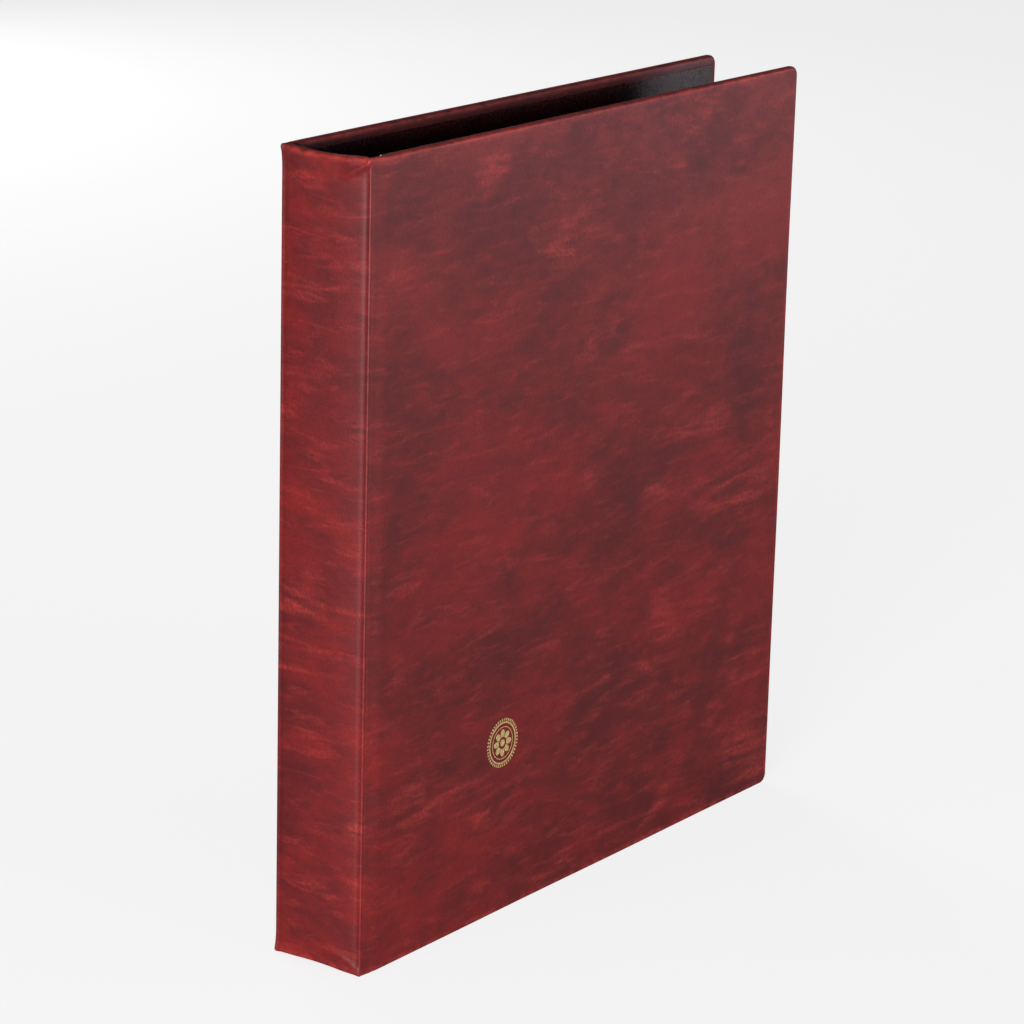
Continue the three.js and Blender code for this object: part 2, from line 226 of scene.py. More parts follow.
class Tree:
    """Short calls for adding and joining the nodes of one material or group."""

    def __init__(self, tree):
        self.tree = tree

    def add(self, kind, inputs=(), **settings):
        """A new node, with sockets or values for its inputs."""
        node = self.tree.nodes.new(kind)
        for name, value in settings.items():
            setattr(node, name, value)
        for name, value in dict(inputs).items():
            self.put(node.inputs[name], value)
        return node

    def put(self, socket, value):
        """Links a socket to the input, or sets the input's value."""
        if isinstance(value, bpy.types.NodeSocket):
            self.tree.links.new(value, socket)
        else:
            socket.default_value = value

    def math(self, operation, a, b=0.0):
        return self.add("ShaderNodeMath", {0: a, 1: b}, operation=operation).outputs[0]

    def plus(self, a, b):
        return self.math("ADD", a, b)

    def times(self, a, b):
        return self.math("MULTIPLY", a, b)

    def ramp(self, value, low, high, to_low=0.0, to_high=1.0):
        """Runs smoothly from to_low to to_high while the value goes from low to high."""
        node = self.add(
            "ShaderNodeMapRange",
            {"Value": value, "From Min": low, "From Max": high, "To Min": to_low, "To Max": to_high},
            interpolation_type="SMOOTHSTEP",
        )
        return node.outputs["Result"]

    def mix(self, share, a, b, blend="MIX"):
        """Colour a, with that share of colour b."""
        node = self.add("ShaderNodeMix", data_type="RGBA", blend_type=blend)
        self.put(node.inputs[0], share)
        self.put(node.inputs[6], a)
        self.put(node.inputs[7], b)
        return node.outputs[2]

    def shaded(self, tint, shade):
        """The colour, made lighter or darker by a grey value."""
        grey = self.add("ShaderNodeCombineColor", {0: shade, 1: shade, 2: shade}).outputs[0]
        return self.mix(1.0, opaque(tint), grey, "MULTIPLY")

    def blended(self, share, first, second):
        """The first shader, with that share of the second."""
        node = self.add("ShaderNodeMixShader", {0: share})
        self.put(node.inputs[1], first.outputs[0])
        self.put(node.inputs[2], second.outputs[0])
        return node

    def for_camera(self, other, seen):
        """One shader as the camera sees it, and another for all other light."""
        path = self.add("ShaderNodeLightPath")
        return self.blended(path.outputs["Is Camera Ray"], other, seen)

    def bump(self, shader, height, strength, distance):
        """Raises the surface by the height, up to that distance."""
        node = self.add("ShaderNodeBump", {"Height": height, "Strength": strength, "Distance": distance})
        self.put(shader.inputs["Normal"], node.outputs[0])

    def blank(self):
        """Flat position on the sheet before it was folded, in metres."""
        return self.add("ShaderNodeUVMap", uv_map="blank").outputs[0]

    def mask(self, name):
        """A value that the mesh carries at its points."""
        return self.add("ShaderNodeAttribute", attribute_name=name).outputs["Fac"]

    def here(self):
        """Position in the piece."""
        return self.add("ShaderNodeTexCoord").outputs["Object"]

    def placed(self, made, inputs):
        """One use of a shader node group, with its own values."""
        node = self.add("ShaderNodeGroup", node_tree=made)
        for name, value in inputs.items():
            self.put(node.inputs[name], value)
        return node.outputs

    def noise(self, vector, scale, detail=4.0, roughness=0.55, distortion=0.0):
        node = self.add(
            "ShaderNodeTexNoise",
            {
                "Vector": vector,
                "Scale": scale,
                "Detail": detail,
                "Roughness": roughness,
                "Distortion": distortion,
            },
        )
        return node.outputs["Fac"]

    def place(self, vector, offset=(0, 0, 0), scale=(1, 1, 1), turn=0.0):
        """The position, stretched, turned about Z and moved."""
        node = self.add(
            "ShaderNodeMapping",
            {"Vector": vector, "Location": offset, "Rotation": (0, 0, turn), "Scale": scale},
        )
        return node.outputs["Vector"]


def opaque(tint):
    """The colour with full alpha, as colour sockets want it."""
    return (*tint, 1.0)


def group(name, inputs, outputs, build):
    """A shader node group, made once. build(tree, inputs) gives the sockets for the outputs."""
    if name in bpy.data.node_groups:
        return bpy.data.node_groups[name]
    made = bpy.data.node_groups.new(name, "ShaderNodeTree")
    for label, kind, default in inputs:
        socket = made.interface.new_socket(label, in_out="INPUT", socket_type=kind)
        if default is not None:
            socket.default_value = default
    for label, kind in outputs:
        made.interface.new_socket(label, in_out="OUTPUT", socket_type=kind)
    tree = Tree(made)
    source = made.nodes.new("NodeGroupInput")
    sink = made.nodes.new("NodeGroupOutput")
    results = build(tree, source.outputs)
    for label, _ in outputs:
        made.links.new(results[label], sink.inputs[label])
    return made


VECTOR, FLOAT, COLOUR = "NodeSocketVector", "NodeSocketFloat", "NodeSocketColor"
WHITE = (1, 1, 1, 1)


def marble_group():
    """Cloudy patches with thin light veins, as printed on marbled leatherette."""

    def build(tree, given):
        where = given["Vector"]
        clouds = tree.noise(tree.place(where, (3.1, 7.4, 0), (0.8, 1.1, 1)), 20.0, 6.0, 0.62, 0.5)
        mottle = tree.noise(tree.place(where, (1.3, 2.9, 0), (0.55, 1.2, 1)), 88.0, 6.0, 0.68, 0.3)
        slow = tree.noise(tree.place(where, (8.2, 0.4, 0)), 6.5, 2.0, 0.5, 0.0)
        fine = tree.noise(tree.place(where, (4.4, 1.1, 0), (0.5, 1.0, 1)), 330.0, 4.0, 0.7)
        ground = tree.plus(tree.times(clouds, 0.52), tree.times(mottle, 0.36))
        ground = tree.plus(ground, tree.times(slow, 0.24))
        ground = tree.plus(ground, tree.times(tree.math("SUBTRACT", fine, 0.5), 0.16))
        patch = tree.ramp(ground, 0.42, 0.72)

        wisps = tree.noise(tree.place(where, (6.6, 3.3, 0), (0.22, 1.0, 1.0), 0.08), 210.0, 5.0, 0.65, 0.5)
        strands = tree.ramp(wisps, 0.40, 0.62, 0.25, 1.0)

        def vein_layer(offset, turn, stretch, scale, width, reach):
            """Bands along the middle level of a stretched noise, only in some places."""
            along = tree.place(where, offset, (stretch, 1.0, 1.0), turn)
            field = tree.noise(along, scale, 4.0, 0.55, 0.3)
            near = tree.math("ABSOLUTE", tree.math("SUBTRACT", field, 0.5))
            band = tree.ramp(near, 0.0, width, 1.0, 0.0)
            gate = tree.ramp(tree.noise(tree.place(where, offset), 15.0, 3.0, 0.6, 0.4), reach, reach + 0.12)
            return tree.times(tree.times(band, gate), strands)

        long_veins = vein_layer((5.2, 1.7, 0), 0.12, 0.20, 26.0, 0.050, 0.50)
        short_veins = vein_layer((2.4, 9.1, 0), -0.25, 0.26, 52.0, 0.040, 0.52)
        veins = tree.math("MAXIMUM", long_veins, tree.times(short_veins, 0.5))
        veins = tree.math("MAXIMUM", veins, tree.times(tree.ramp(wisps, 0.50, 0.70), 0.50))
        fleck = tree.ramp(tree.noise(where, 620.0, 3.0, 0.7), 0.38, 0.68)
        veins = tree.times(veins, tree.plus(tree.times(fleck, 0.5), 0.5))
        print_colour = tree.mix(patch, given["Dark"], given["Mid"])
        print_colour = tree.mix(tree.times(veins, given["Vein amount"]), print_colour, given["Light"])
        dimmed = tree.times(tree.math("SUBTRACT", 1.0, fleck), 0.22)
        return {"Color": tree.mix(dimmed, print_colour, given["Dark"]), "Patch": patch}

    return group(
        "Marbled print",
        [
            ("Vector", VECTOR, None),
            ("Dark", COLOUR, None),
            ("Mid", COLOUR, None),
            ("Light", COLOUR, None),
            ("Vein amount", FLOAT, 0.64),
        ],
        [("Color", COLOUR), ("Patch", FLOAT)],
        build,
    )


def grain_group():
    """Fine leather grain: small rounded pebbles with creases between, as a height."""

    def build(tree, given):
        where = given["Vector"]
        cells = tree.add(
            "ShaderNodeTexVoronoi",
            {"Vector": where, "Scale": given["Scale"], "Smoothness": 0.6},
            feature="SMOOTH_F1",
        ).outputs["Distance"]
        pebble = tree.ramp(cells, 0.1, 0.75, 1.0, 0.0)
        pores = tree.noise(where, 2600.0, 2.0, 0.6)
        creases = tree.noise(tree.place(where, (0, 0, 0), (1.0, 0.45, 1.0), 0.5), 420.0, 4.0, 0.6, 0.8)
        height = tree.plus(tree.times(pebble, 0.55), tree.times(pores, 0.2))
        return {"Height": tree.plus(height, tree.times(creases, 0.35))}

    return group(
        "Leather grain",
        [("Vector", VECTOR, None), ("Scale", FLOAT, 900.0)],
        [("Height", FLOAT)],
        build,
    )


def scuff_group():
    """Patchy wear along edges, from a wear mask that the mesh carries."""

    def build(tree, given):
        patchy = tree.ramp(tree.noise(given["Vector"], 180.0, 5.0, 0.65), 0.36, 0.66)
        return {"Wear": tree.times(patchy, given["Mask"])}

    return group(
        "Edge wear",
        [("Vector", VECTOR, None), ("Mask", FLOAT, 0.0)],
        [("Wear", FLOAT)],
        build,
    )


def material(name, build):
    """The named material, built at its first use by build(tree, shader)."""
    if name not in bpy.data.materials:
        made = bpy.data.materials.new(name)
        made.use_nodes = True
        made.node_tree.nodes.clear()
        tree = Tree(made.node_tree)
        shader = tree.add("ShaderNodeBsdfPrincipled")
        tree.add("ShaderNodeOutputMaterial", {"Surface": shader.outputs[0]})
        build(tree, shader)
    return bpy.data.materials[name]


def leatherette():
    """Marbled leatherette: satin, finely grained, rubbed lighter at its edges."""

    def build(tree, shader):
        sizes = case_sizes()
        blank = tree.blank()
        tints = {"Dark": opaque(sizes.dark), "Mid": opaque(sizes.wine), "Light": opaque(sizes.vein)}
        marbled = tree.placed(marble_group(), {"Vector": blank, **tints})
        wear = tree.placed(scuff_group(), {"Vector": blank, "Mask": tree.mask("wear")})["Wear"]
        rubbed = tree.mix(tree.times(wear, 0.55), marbled["Color"], opaque(sizes.vein))
        tree.put(shader.inputs["Base Color"], rubbed)
        rough = tree.ramp(marbled["Patch"], 0.0, 1.0, 0.48, 0.40)
        tree.put(shader.inputs["Roughness"], tree.plus(rough, tree.times(wear, 0.08)))
        shader.inputs["Specular IOR Level"].default_value = 0.24
        grain = tree.placed(grain_group(), {"Vector": blank, "Scale": 950.0})
        tree.bump(shader, grain["Height"], 0.55, 0.06 * MM)

    return material("marbled_leatherette", build)


def lining_paper():
    """Dark end paper with a low sheen and a pressed grain."""

    def build(tree, shader):
        blank = tree.blank()
        fibre = tree.noise(blank, 500.0, 4.0, 0.6)
        cloud = tree.noise(blank, 40.0, 4.0, 0.6, 0.4)
        shade = tree.ramp(cloud, 0.3, 0.7, 0.72, 1.12)
        tree.put(shader.inputs["Base Color"], tree.shaded(case_sizes().lining, shade))
        tree.put(shader.inputs["Roughness"], tree.ramp(fibre, 0.3, 0.7, 0.24, 0.34))
        shader.inputs["Specular IOR Level"].default_value = 0.35
        grain = tree.placed(grain_group(), {"Vector": blank, "Scale": 1500.0})
        tree.bump(shader, grain["Height"], 0.35, 0.04 * MM)

    return material("smooth_lining", build)


def grey_board():
    """Dull grey binder's board, with its fibres showing."""

    def build(tree, shader):
        where = tree.here()
        fibre = tree.noise(where, 900.0, 5.0, 0.7)
        mottled = tree.noise(where, 60.0, 3.0, 0.5)
        shade = tree.plus(tree.ramp(fibre, 0.3, 0.7, 0.65, 0.95), tree.times(mottled, 0.2))
        tree.put(shader.inputs["Base Color"], tree.shaded(case_sizes().board, shade))
        tree.put(shader.inputs["Roughness"], tree.ramp(mottled, 0.3, 0.7, 0.85, 0.95))
        tree.bump(shader, fibre, 0.4, 0.05 * MM)

    return material("binders_board", build)


def nickel_plate():
    """Bright nickel plate, slightly hazy, drawn along the album's height."""

    def build(tree, shader):
        where = tree.here()
        haze = tree.noise(where, 160.0, 4.0, 0.6)
        drawn = tree.noise(tree.place(where, (0, 0, 0), (1.0, 1.0, 0.04)), 2400.0, 3.0, 0.6)
        shade = tree.ramp(haze, 0.3, 0.7, 0.9, 1.04)
        tree.put(shader.inputs["Base Color"], tree.shaded(ring_sizes().nickel, shade))
        shader.inputs["Metallic"].default_value = 1.0
        rough = tree.plus(tree.ramp(haze, 0.3, 0.75, 0.12, 0.24), tree.times(drawn, 0.06))
        tree.put(shader.inputs["Roughness"], rough)
        tree.bump(shader, drawn, 0.12, 0.01 * MM)

    return material("nickel_plate", build)


def pocket_film():
    """Clear soft film, whiter and hatched where its welds are pressed."""

    def build(tree, shader):
        where = tree.blank()
        ripple = tree.noise(where, 55.0, 3.0, 0.5, 0.3)
        bands = {"wave_type": "BANDS", "bands_direction": "DIAGONAL"}
        hatch = tree.add("ShaderNodeTexWave", {"Vector": where, "Scale": 380.0}, **bands).outputs["Fac"]
        shader.inputs["Base Color"].default_value = opaque(page_sizes().film)
        pressed = tree.times(tree.mask("weld"), tree.ramp(hatch, 0.2, 0.8, 0.5, 1.0))
        tree.put(shader.inputs["Alpha"], tree.ramp(pressed, 0.0, 1.0, 0.16, 0.46))
        tree.put(shader.inputs["Roughness"], tree.ramp(pressed, 0.0, 1.0, 0.10, 0.38))
        tree.bump(shader, tree.plus(ripple, tree.times(pressed, 0.25)), 0.5, 0.3 * MM)

    return material("pocket_film", build)


def interleaf_card():
    """Matt black card."""

    def build(tree, shader):
        where = tree.here()
        fibre = tree.noise(where, 1300.0, 5.0, 0.7)
        cloud = tree.noise(where, 35.0, 3.0, 0.5)
        shade = tree.plus(tree.ramp(fibre, 0.3, 0.7, 0.75, 1.2), tree.times(cloud, 0.2))
        tree.put(shader.inputs["Base Color"], tree.shaded(page_sizes().card, shade))
        tree.put(shader.inputs["Roughness"], tree.ramp(cloud, 0.3, 0.7, 0.72, 0.86))
        tree.bump(shader, fibre, 0.35, 0.03 * MM)

    return material("interleaf_card", build)


def gold_foil():
    """Gold foil pressed into the leather grain."""

    def build(tree, shader):
        where = tree.here()
        worn = tree.noise(where, 900.0, 4.0, 0.65)
        shade = tree.ramp(worn, 0.3, 0.7, 0.82, 1.08)
        tree.put(shader.inputs["Base Color"], tree.shaded(stamp_sizes().gold, shade))
        shader.inputs["Metallic"].default_value = 0.75
        tree.put(shader.inputs["Roughness"], tree.ramp(worn, 0.3, 0.7, 0.32, 0.46))
        grain = tree.placed(grain_group(), {"Vector": where, "Scale": 950.0})
        tree.bump(shader, grain["Height"], 0.4, 0.04 * MM)

    return material("gold_foil", build)


# ---------------------------------------------------------------- mesh helpers


def mesh_piece(name, points, faces, made_material, layers=()):
    """A smooth-shaded mesh object. layers maps 'blank' to flat positions and other names to point values."""
    data = bpy.data.meshes.new(name)
    data.from_pydata([tuple(p) for p in points], [], [tuple(f) for f in faces])
    data.update()
    layers = dict(layers)
    if "blank" in layers:
        flat = layers.pop("blank")
        uv = data.uv_layers.new(name="blank")
        corners = np.empty(len(data.loops), np.int32)
        data.loops.foreach_get("vertex_index", corners)
        uv.data.foreach_set("uv", np.asarray(flat, np.float32)[corners].ravel())
    for label, values in layers.items():
        layer = data.attributes.new(label, "FLOAT", "POINT")
        layer.data.foreach_set("value", np.asarray(values, np.float32))
    data.materials.append(made_material)
    data.polygons.foreach_set("use_smooth", [True] * len(data.polygons))
    made = bpy.data.objects.new(name, data)
    bpy.context.scene.collection.objects.link(made)
    return made


def apply_modifiers(piece):
    """Turns the piece into the mesh that its modifiers make."""
    evaluated = piece.evaluated_get(bpy.context.evaluated_depsgraph_get())
    data = bpy.data.meshes.new_from_object(evaluated)
    piece.modifiers.clear()
    piece.data = data
    return piece


def thicken(piece, thickness):
    """Gives an open sheet its thickness, on the side away from its faces, with crisp cut edges."""
    faces = len(piece.data.polygons)
    modifier = piece.modifiers.new("thickness", "SOLIDIFY")
    modifier.thickness = thickness
    modifier.offset = -1.0
    apply_modifiers(piece)
    sharp = set()
    for polygon in list(piece.data.polygons)[2 * faces :]:
        polygon.use_smooth = False
        sharp.update(polygon.edge_keys)
    for edge in piece.data.edges:
        if edge.key in sharp:
            edge.use_edge_sharp = True
    return piece


def soften(piece, width, segments=2):
    """Rounds the piece's sharp edges."""
    modifier = piece.modifiers.new("soft edges", "BEVEL")
    modifier.width = width
    modifier.segments = segments
    modifier.limit_method = "ANGLE"
    modifier.angle_limit = math.radians(35)
    modifier.harden_normals = True
    return apply_modifiers(piece)


def joined(parts):
    """Points and faces of several (points, faces) pairs, as one pair."""
    points, faces = [], []
    for more, more_faces in parts:
        offset = len(points)
        points += [tuple(p) for p in more]
        faces += [tuple(i + offset for i in face) for face in more_faces]
    return points, faces


def facing_out(piece, outward):
    """Turns the faces of an open sheet over if they look away from outward."""
    total = Vector((0, 0, 0))
    for polygon in piece.data.polygons:
        total += polygon.normal * polygon.area
    if total.dot(Vector(outward)) < 0:
        piece.data.flip_normals()
    return piece


@contextmanager
def edited(piece):
    """The piece's mesh, opened for editing."""
    mesh = bmesh.new()
    mesh.from_mesh(piece.data)
    yield mesh
    mesh.to_mesh(piece.data)
    mesh.free()


def facing_outward(piece):
    """Makes every face of a closed piece look outward."""
    with edited(piece) as mesh:
        bmesh.ops.recalc_face_normals(mesh, faces=mesh.faces)
    return piece


def crisp(piece, angle=35):
    """Keeps edges sharper than the angle sharp in the shading."""
    with edited(piece) as mesh:
        for edge in mesh.edges:
            if edge.is_manifold and edge.calc_face_angle() > math.radians(angle):
                edge.smooth = False
    return piece


def closed_tube(rings, sides):
    """Faces of a tube with that many rings of points, and a flat face over each end."""
    faces = []
    for i in range(rings - 1):
        for k in range(sides):
            a, b = i * sides + k, i * sides + (k + 1) % sides
            faces.append((a, b, b + sides, a + sides))
    last = (rings - 1) * sides
    return faces + [tuple(range(sides))[::-1], tuple(range(last, last + sides))]


def cell(value):
    """A place rounded well below a grid step, so that equal places can be looked up."""
    return round(value[0], 7), round(value[1], 7)


def steps_between(start, end, step):
    """Evenly spaced values from start up to, but without, end."""
    count = max(1, round(abs(end - start) / step))
    return list(np.linspace(start, end, count, endpoint=False))


def grid_faces(columns, rows):
    """Quads of a grid whose points run up each column in turn."""
    return [
        (i * rows + j, (i + 1) * rows + j, (i + 1) * rows + j + 1, i * rows + j + 1)
        for i in range(columns - 1)
        for j in range(rows - 1)
    ]


# ---------------------------------------------------------------- the case

CORNER_CELLS = 5
EDGE_CELLS = 5
# How far the leatherette swells, creases and sinks over the spine and beside the joint
SWELL = 1.25 * MM
FLAT_MIDDLE = 3 * MM
CREASE = 0.30 * MM
CREASE_AT = 18.8 * MM
SECOND_CREASE = 0.20 * MM
SECOND_AT = 2.1 * MM
SHOULDER = 1.15 * MM
SHOULDER_FROM = 1.8 * MM
SHOULDER_WIDTH = 9.2 * MM
# Folds at the head of the front joint. At the foot and on the back they are flatter.
FOLD_RISE = 0.55 * MM
FOLD_RIDGE = 0.80 * MM
FOOT_SHARE = 0.4
BACK_SHARE = 0.3
FLARE = {-1: 0.3 * MM, 1: 0.75 * MM}
END_DIP = 0.85 * MM
WAVE = 0.11 * MM
# The turned-in leatherette lies deep over the boards and shallow over the bending strip between them
SPINE_TURN_IN_TO = 17.2 * MM
INNER_GAP = 0.22 * MM
STRIP_DEPTH = 1.4 * MM
EDGE_WEAR = 0.9


class CaseHalf:
    """One half of the covering: from the middle of the spine, round the joint, to the fore edge.

    A place on it is (run, height, depth): run along the plan outline from the middle of the spine,
    height above the foot, and depth below the outer surface. side is -1 for the front cover.
    """

    def __init__(self, side):
        sizes = case_sizes()
        self.side = side
        self.joint = sizes.joint
        self.edge = sizes.edge
        self.corner = sizes.corner
        self.half = ALBUM_DEPTH / 2
        self.arc_start = self.half - self.joint
        self.arc_end = self.arc_start + self.joint * math.pi / 2
        self.run_end = self.arc_end + ALBUM_WIDTH - self.joint
        self.inner_depth = PANEL - INNER_GAP
        self.strip_depth = STRIP_DEPTH

    def cover_run(self, from_spine):
        """Run of a place on the cover at that distance from the spine's outer face."""
        return self.arc_end + from_spine - self.joint

    def outline(self, run):
        """Distance from the spine's face, distance from the middle, and outward normal, in plan."""
        run = np.asarray(run, float)
        turn = np.clip((run - self.arc_start) / self.joint, 0, math.pi / 2)
        past = np.maximum(run - self.arc_end, 0)
        before = np.minimum(run, self.arc_start)
        away = self.joint * (1 - np.cos(turn)) + past
        across = before + self.joint * np.sin(turn)
        return away, across, -np.cos(turn), np.sin(turn)

    def hollow(self, run, height):
        """How far the outer surface lies inside the plain outline."""
        run = np.asarray(run, float)
        height = np.asarray(height, float)
        from_spine = run - self.arc_end + self.joint
        swell = SWELL * np.clip((run - FLAT_MIDDLE) / (self.arc_start - FLAT_MIDDLE), 0, 1) ** 2.1
        past_arc = smooth((run - self.arc_start) / (self.arc_end - self.arc_start))
        crease = CREASE * bell((run - CREASE_AT) / (1.0 * MM))
        second = SECOND_CREASE * bell((from_spine - SECOND_AT) / (0.75 * MM))
        shoulder = SHOULDER * (1 - smooth((from_spine - SHOULDER_FROM) / SHOULDER_WIDTH))
        folds = self.head_folds(run, height) + self.corner_flare(run, height)
        creases = (crease + second) * self.end_fade(height)
        return swell * (1 - past_arc) + creases + shoulder * past_arc - folds

    def end_fade(self, height):
        """Creases flatten out towards the head and foot, where the turned-in layers stiffen them."""
        from_end = np.minimum(height, ALBUM_HEIGHT - height)
        return 0.45 + 0.55 * smooth((from_end - 2 * MM) / (9 * MM))

    def head_folds(self, run, height):
        """Raised fold where the turned-in leatherette bunches beside the joint."""
        from_end = np.minimum(height, ALBUM_HEIGHT - height)
        share = np.where(height < ALBUM_HEIGHT / 2, FOOT_SHARE, 1.0) * (1.0 if self.side < 0 else BACK_SHARE)
        to_joint = np.clip((self.arc_start + 1.4 * MM - run) / (13 * MM), 0, 1.6)
        fold_line = 1.2 * MM + 7.4 * MM * to_joint**0.8
        above = smooth((fold_line + 0.9 * MM - from_end) / (2.2 * MM))
        ridge = bell((from_end - fold_line) / (1.3 * MM))
        reach = smooth((run - 6 * MM) / (8 * MM)) * (1 - smooth((run - self.arc_start) / (2.6 * MM)))
        return share * reach * (FOLD_RISE * above + FOLD_RIDGE * ridge)

    def corner_flare(self, run, height):
        """The stiff turned-in corner stands out a little at the head and foot of the joint."""
        from_end = np.minimum(height, ALBUM_HEIGHT - height)
        tall = np.clip(1 - from_end / (9 * MM), 0, 1) ** 2
        return FLARE[self.side] * tall * bell((run - self.arc_start - 0.8 * MM) / (3.2 * MM))

    def drawn_in(self, run, height):
        """Height after the head and foot edges are drawn in slightly between the joints."""
        dip = END_DIP * (1 - smooth(run / self.arc_start) ** 1.2)
        return height - dip * (2 * height / ALBUM_HEIGHT - 1)

    def wave(self, run, height):
        """Boards are never dead flat: a very shallow, slow unevenness."""
        on_cover = smooth((run - self.cover_run(14 * MM)) / (30 * MM))
        ripple = np.sin(run * 31 + 1.3) * np.sin(height * 23 + 0.4 + self.side)
        ripple = ripple + 0.6 * np.sin(run * 57 + height * 41)
        return WAVE * ripple * on_cover

    def thickness(self, run):
        """Depth of the inner face of the turned-in covering."""
        from_spine = run - self.arc_end + self.joint
        on_spine = 1 - smooth((run - SPINE_TURN_IN_TO) / (1.8 * MM))
        on_cover = smooth((from_spine - HINGE_STRIP + 2.9 * MM) / (2.7 * MM))
        full = np.maximum(on_spine, on_cover)
        return self.strip_depth + (self.inner_depth - self.strip_depth) * full

    def place(self, run, height, depth):
        """Points in the row frame for arrays of run, height and depth."""
        away, across, normal_away, normal_across = self.outline(run)
        sunk = self.hollow(run, height) + self.wave(run, height) + depth
        x = SPINE_X + away - normal_away * sunk
        y = self.side * (across - normal_across * sunk)
        return np.stack([x, y, np.asarray(height, float)], axis=-1)

    def runs(self):
        """Grid lines along the run: close together over the joint and at the fore edge corner."""
        lines = steps_between(0, 5 * MM, 1.2 * MM)
        lines += steps_between(5 * MM, 17 * MM, 0.8 * MM)
        lines += steps_between(17 * MM, self.cover_run(13 * MM), FINE)
        lines += steps_between(self.cover_run(13 * MM), self.run_end - self.corner, COARSE)
        return lines

    def heights(self):
        """Grid lines up the case, closer together near the head and foot."""
        ends = steps_between(self.corner, 12 * MM, 0.8 * MM)
        middle = steps_between(12 * MM, ALBUM_HEIGHT - 12 * MM, COARSE)
        top = [ALBUM_HEIGHT - h for h in reversed(ends)]
        return ends + middle + [ALBUM_HEIGHT - 12 * MM] + top

    def border(self, inset):
        """Outline of the covering at that inset: along the foot, round the fore edge, back along the head.

        Gives run, height and the outward direction for each point, in the flat.
        """
        centre = max(self.corner, inset + 0.6 * MM)
        radius = centre - inset
        squeeze_from = 24 * MM

        def squeezed(distance):
            if distance >= squeeze_from:
                return distance
            share = (distance - self.corner) / (squeeze_from - self.corner)
            return centre + share * (squeeze_from - centre)

        foot = [(self.run_end - squeezed(self.run_end - run), inset, 0, -1) for run in self.runs()]
        for step in range(2 * CORNER_CELLS + 1):
            angle = -math.pi / 2 + step * math.pi / 4 / CORNER_CELLS
            c, s = math.cos(angle), math.sin(angle)
            foot.append((self.run_end - centre + radius * c, centre + radius * s, c, s))
        fore = []
        for height in self.heights()[1:-1]:
            nearer = min(height, ALBUM_HEIGHT - height)
            moved = squeezed(nearer)
            fore.append((self.run_end - inset, moved if height == nearer else ALBUM_HEIGHT - moved, 1, 0))
        head = [(run, ALBUM_HEIGHT - height, c, -s) for run, height, c, s in reversed(foot)]
        return np.array(foot + fore + head)

    def face_grid(self):
        """The outer face, as columns of (run, height) whose border is the outline at the edge radius."""
        inset = self.edge
        reach = self.corner - inset
        block = [reach * k / CORNER_CELLS for k in range(1, CORNER_CELLS + 1)]
        low = [self.corner - b for b in reversed(block)]
        high = [ALBUM_HEIGHT - h for h in reversed(low)]
        rows = low + self.heights() + high
        columns = self.runs() + [self.run_end - self.corner] + [self.run_end - self.corner + b for b in block]
        grid = []
        for run in columns:
            for height in rows:
                grid.append(self.rounded(run, height, reach))
        return np.array(grid), len(columns), len(rows)

    def rounded(self, run, height, reach):
        """Moves a point of a square fore edge corner block into the rounded corner."""
        along = (run - (self.run_end - self.corner)) / reach
        bottom = (self.corner - height) / reach
        top = (height - (ALBUM_HEIGHT - self.corner)) / reach
        up = max(bottom, top)
        if along <= 0 or up <= 0:
            return run, height
        size = max(along, up)
        angle = math.pi / 4 * (up / along if along >= up else 2 - along / up)
        run = self.run_end - self.corner + reach * size * math.cos(angle)
        rise = reach * size * math.sin(angle)
        return run, (self.corner - rise if bottom > 0 else ALBUM_HEIGHT - self.corner + rise)


def edge_rings(half, thickness):
    """Inset and depths of each ring round an edge and over the board inside, with its share of wear."""
    radius = np.minimum(half.edge, thickness / 2 - 0.02 * MM)
    quarter = [k * math.pi / 2 / EDGE_CELLS for k in range(EDGE_CELLS + 1)]
    for angle in quarter[1:]:
        yield half.edge * (1 - math.sin(angle)), radius * (1 - math.cos(angle)), EDGE_WEAR
    for angle in quarter:
        yield half.edge * (1 - math.cos(angle)), thickness - radius * (1 - math.sin(angle)), EDGE_WEAR
    for inset in (3.0 * MM, 5.5 * MM, 9 * MM, 13 * MM, case_sizes().turn_in):
        yield inset, thickness, 0.0


def covering_mesh(half):
    """Outer face and turned edges of half the case, as one open sheet of points, faces and layers."""
    grid, columns, rows = half.face_grid()
    faces = grid_faces(columns, rows)
    heights = grid[:, 1]
    points = [half.place(grid[:, 0], half.drawn_in(grid[:, 0], heights), np.zeros(len(grid)))]
    flats = [grid.copy()]
    wear = [edge_wear(half, grid[:, 0], heights)]

    index = {cell(place): k for k, place in enumerate(grid)}
    base = half.border(half.edge)
    previous = [index[cell(place)] for place in base]
    count = len(grid)
    last_inset, last_depth = half.edge, np.zeros(len(base))
    travelled = np.zeros(len(base))
    for inset, depth, ring_wear in edge_rings(half, half.thickness(base[:, 0])):
        ring = half.border(inset)
        points.append(half.place(ring[:, 0], half.drawn_in(ring[:, 0], ring[:, 1]), depth))
        travelled = travelled + np.hypot(inset - last_inset, depth - last_depth)
        flats.append(base[:, :2] + base[:, 2:] * travelled[:, None])
        wear.append(np.full(len(ring), ring_wear))
        current = list(range(count, count + len(ring)))
        for k in range(len(ring) - 1):
            faces.append((previous[k], current[k], current[k + 1], previous[k + 1]))
        previous = current
        count += len(ring)
        last_inset, last_depth = inset, depth
    flat = np.concatenate(flats)
    flat[:, 0] *= -half.side
    return np.concatenate(points), faces, {"blank": flat, "wear": np.concatenate(wear)}


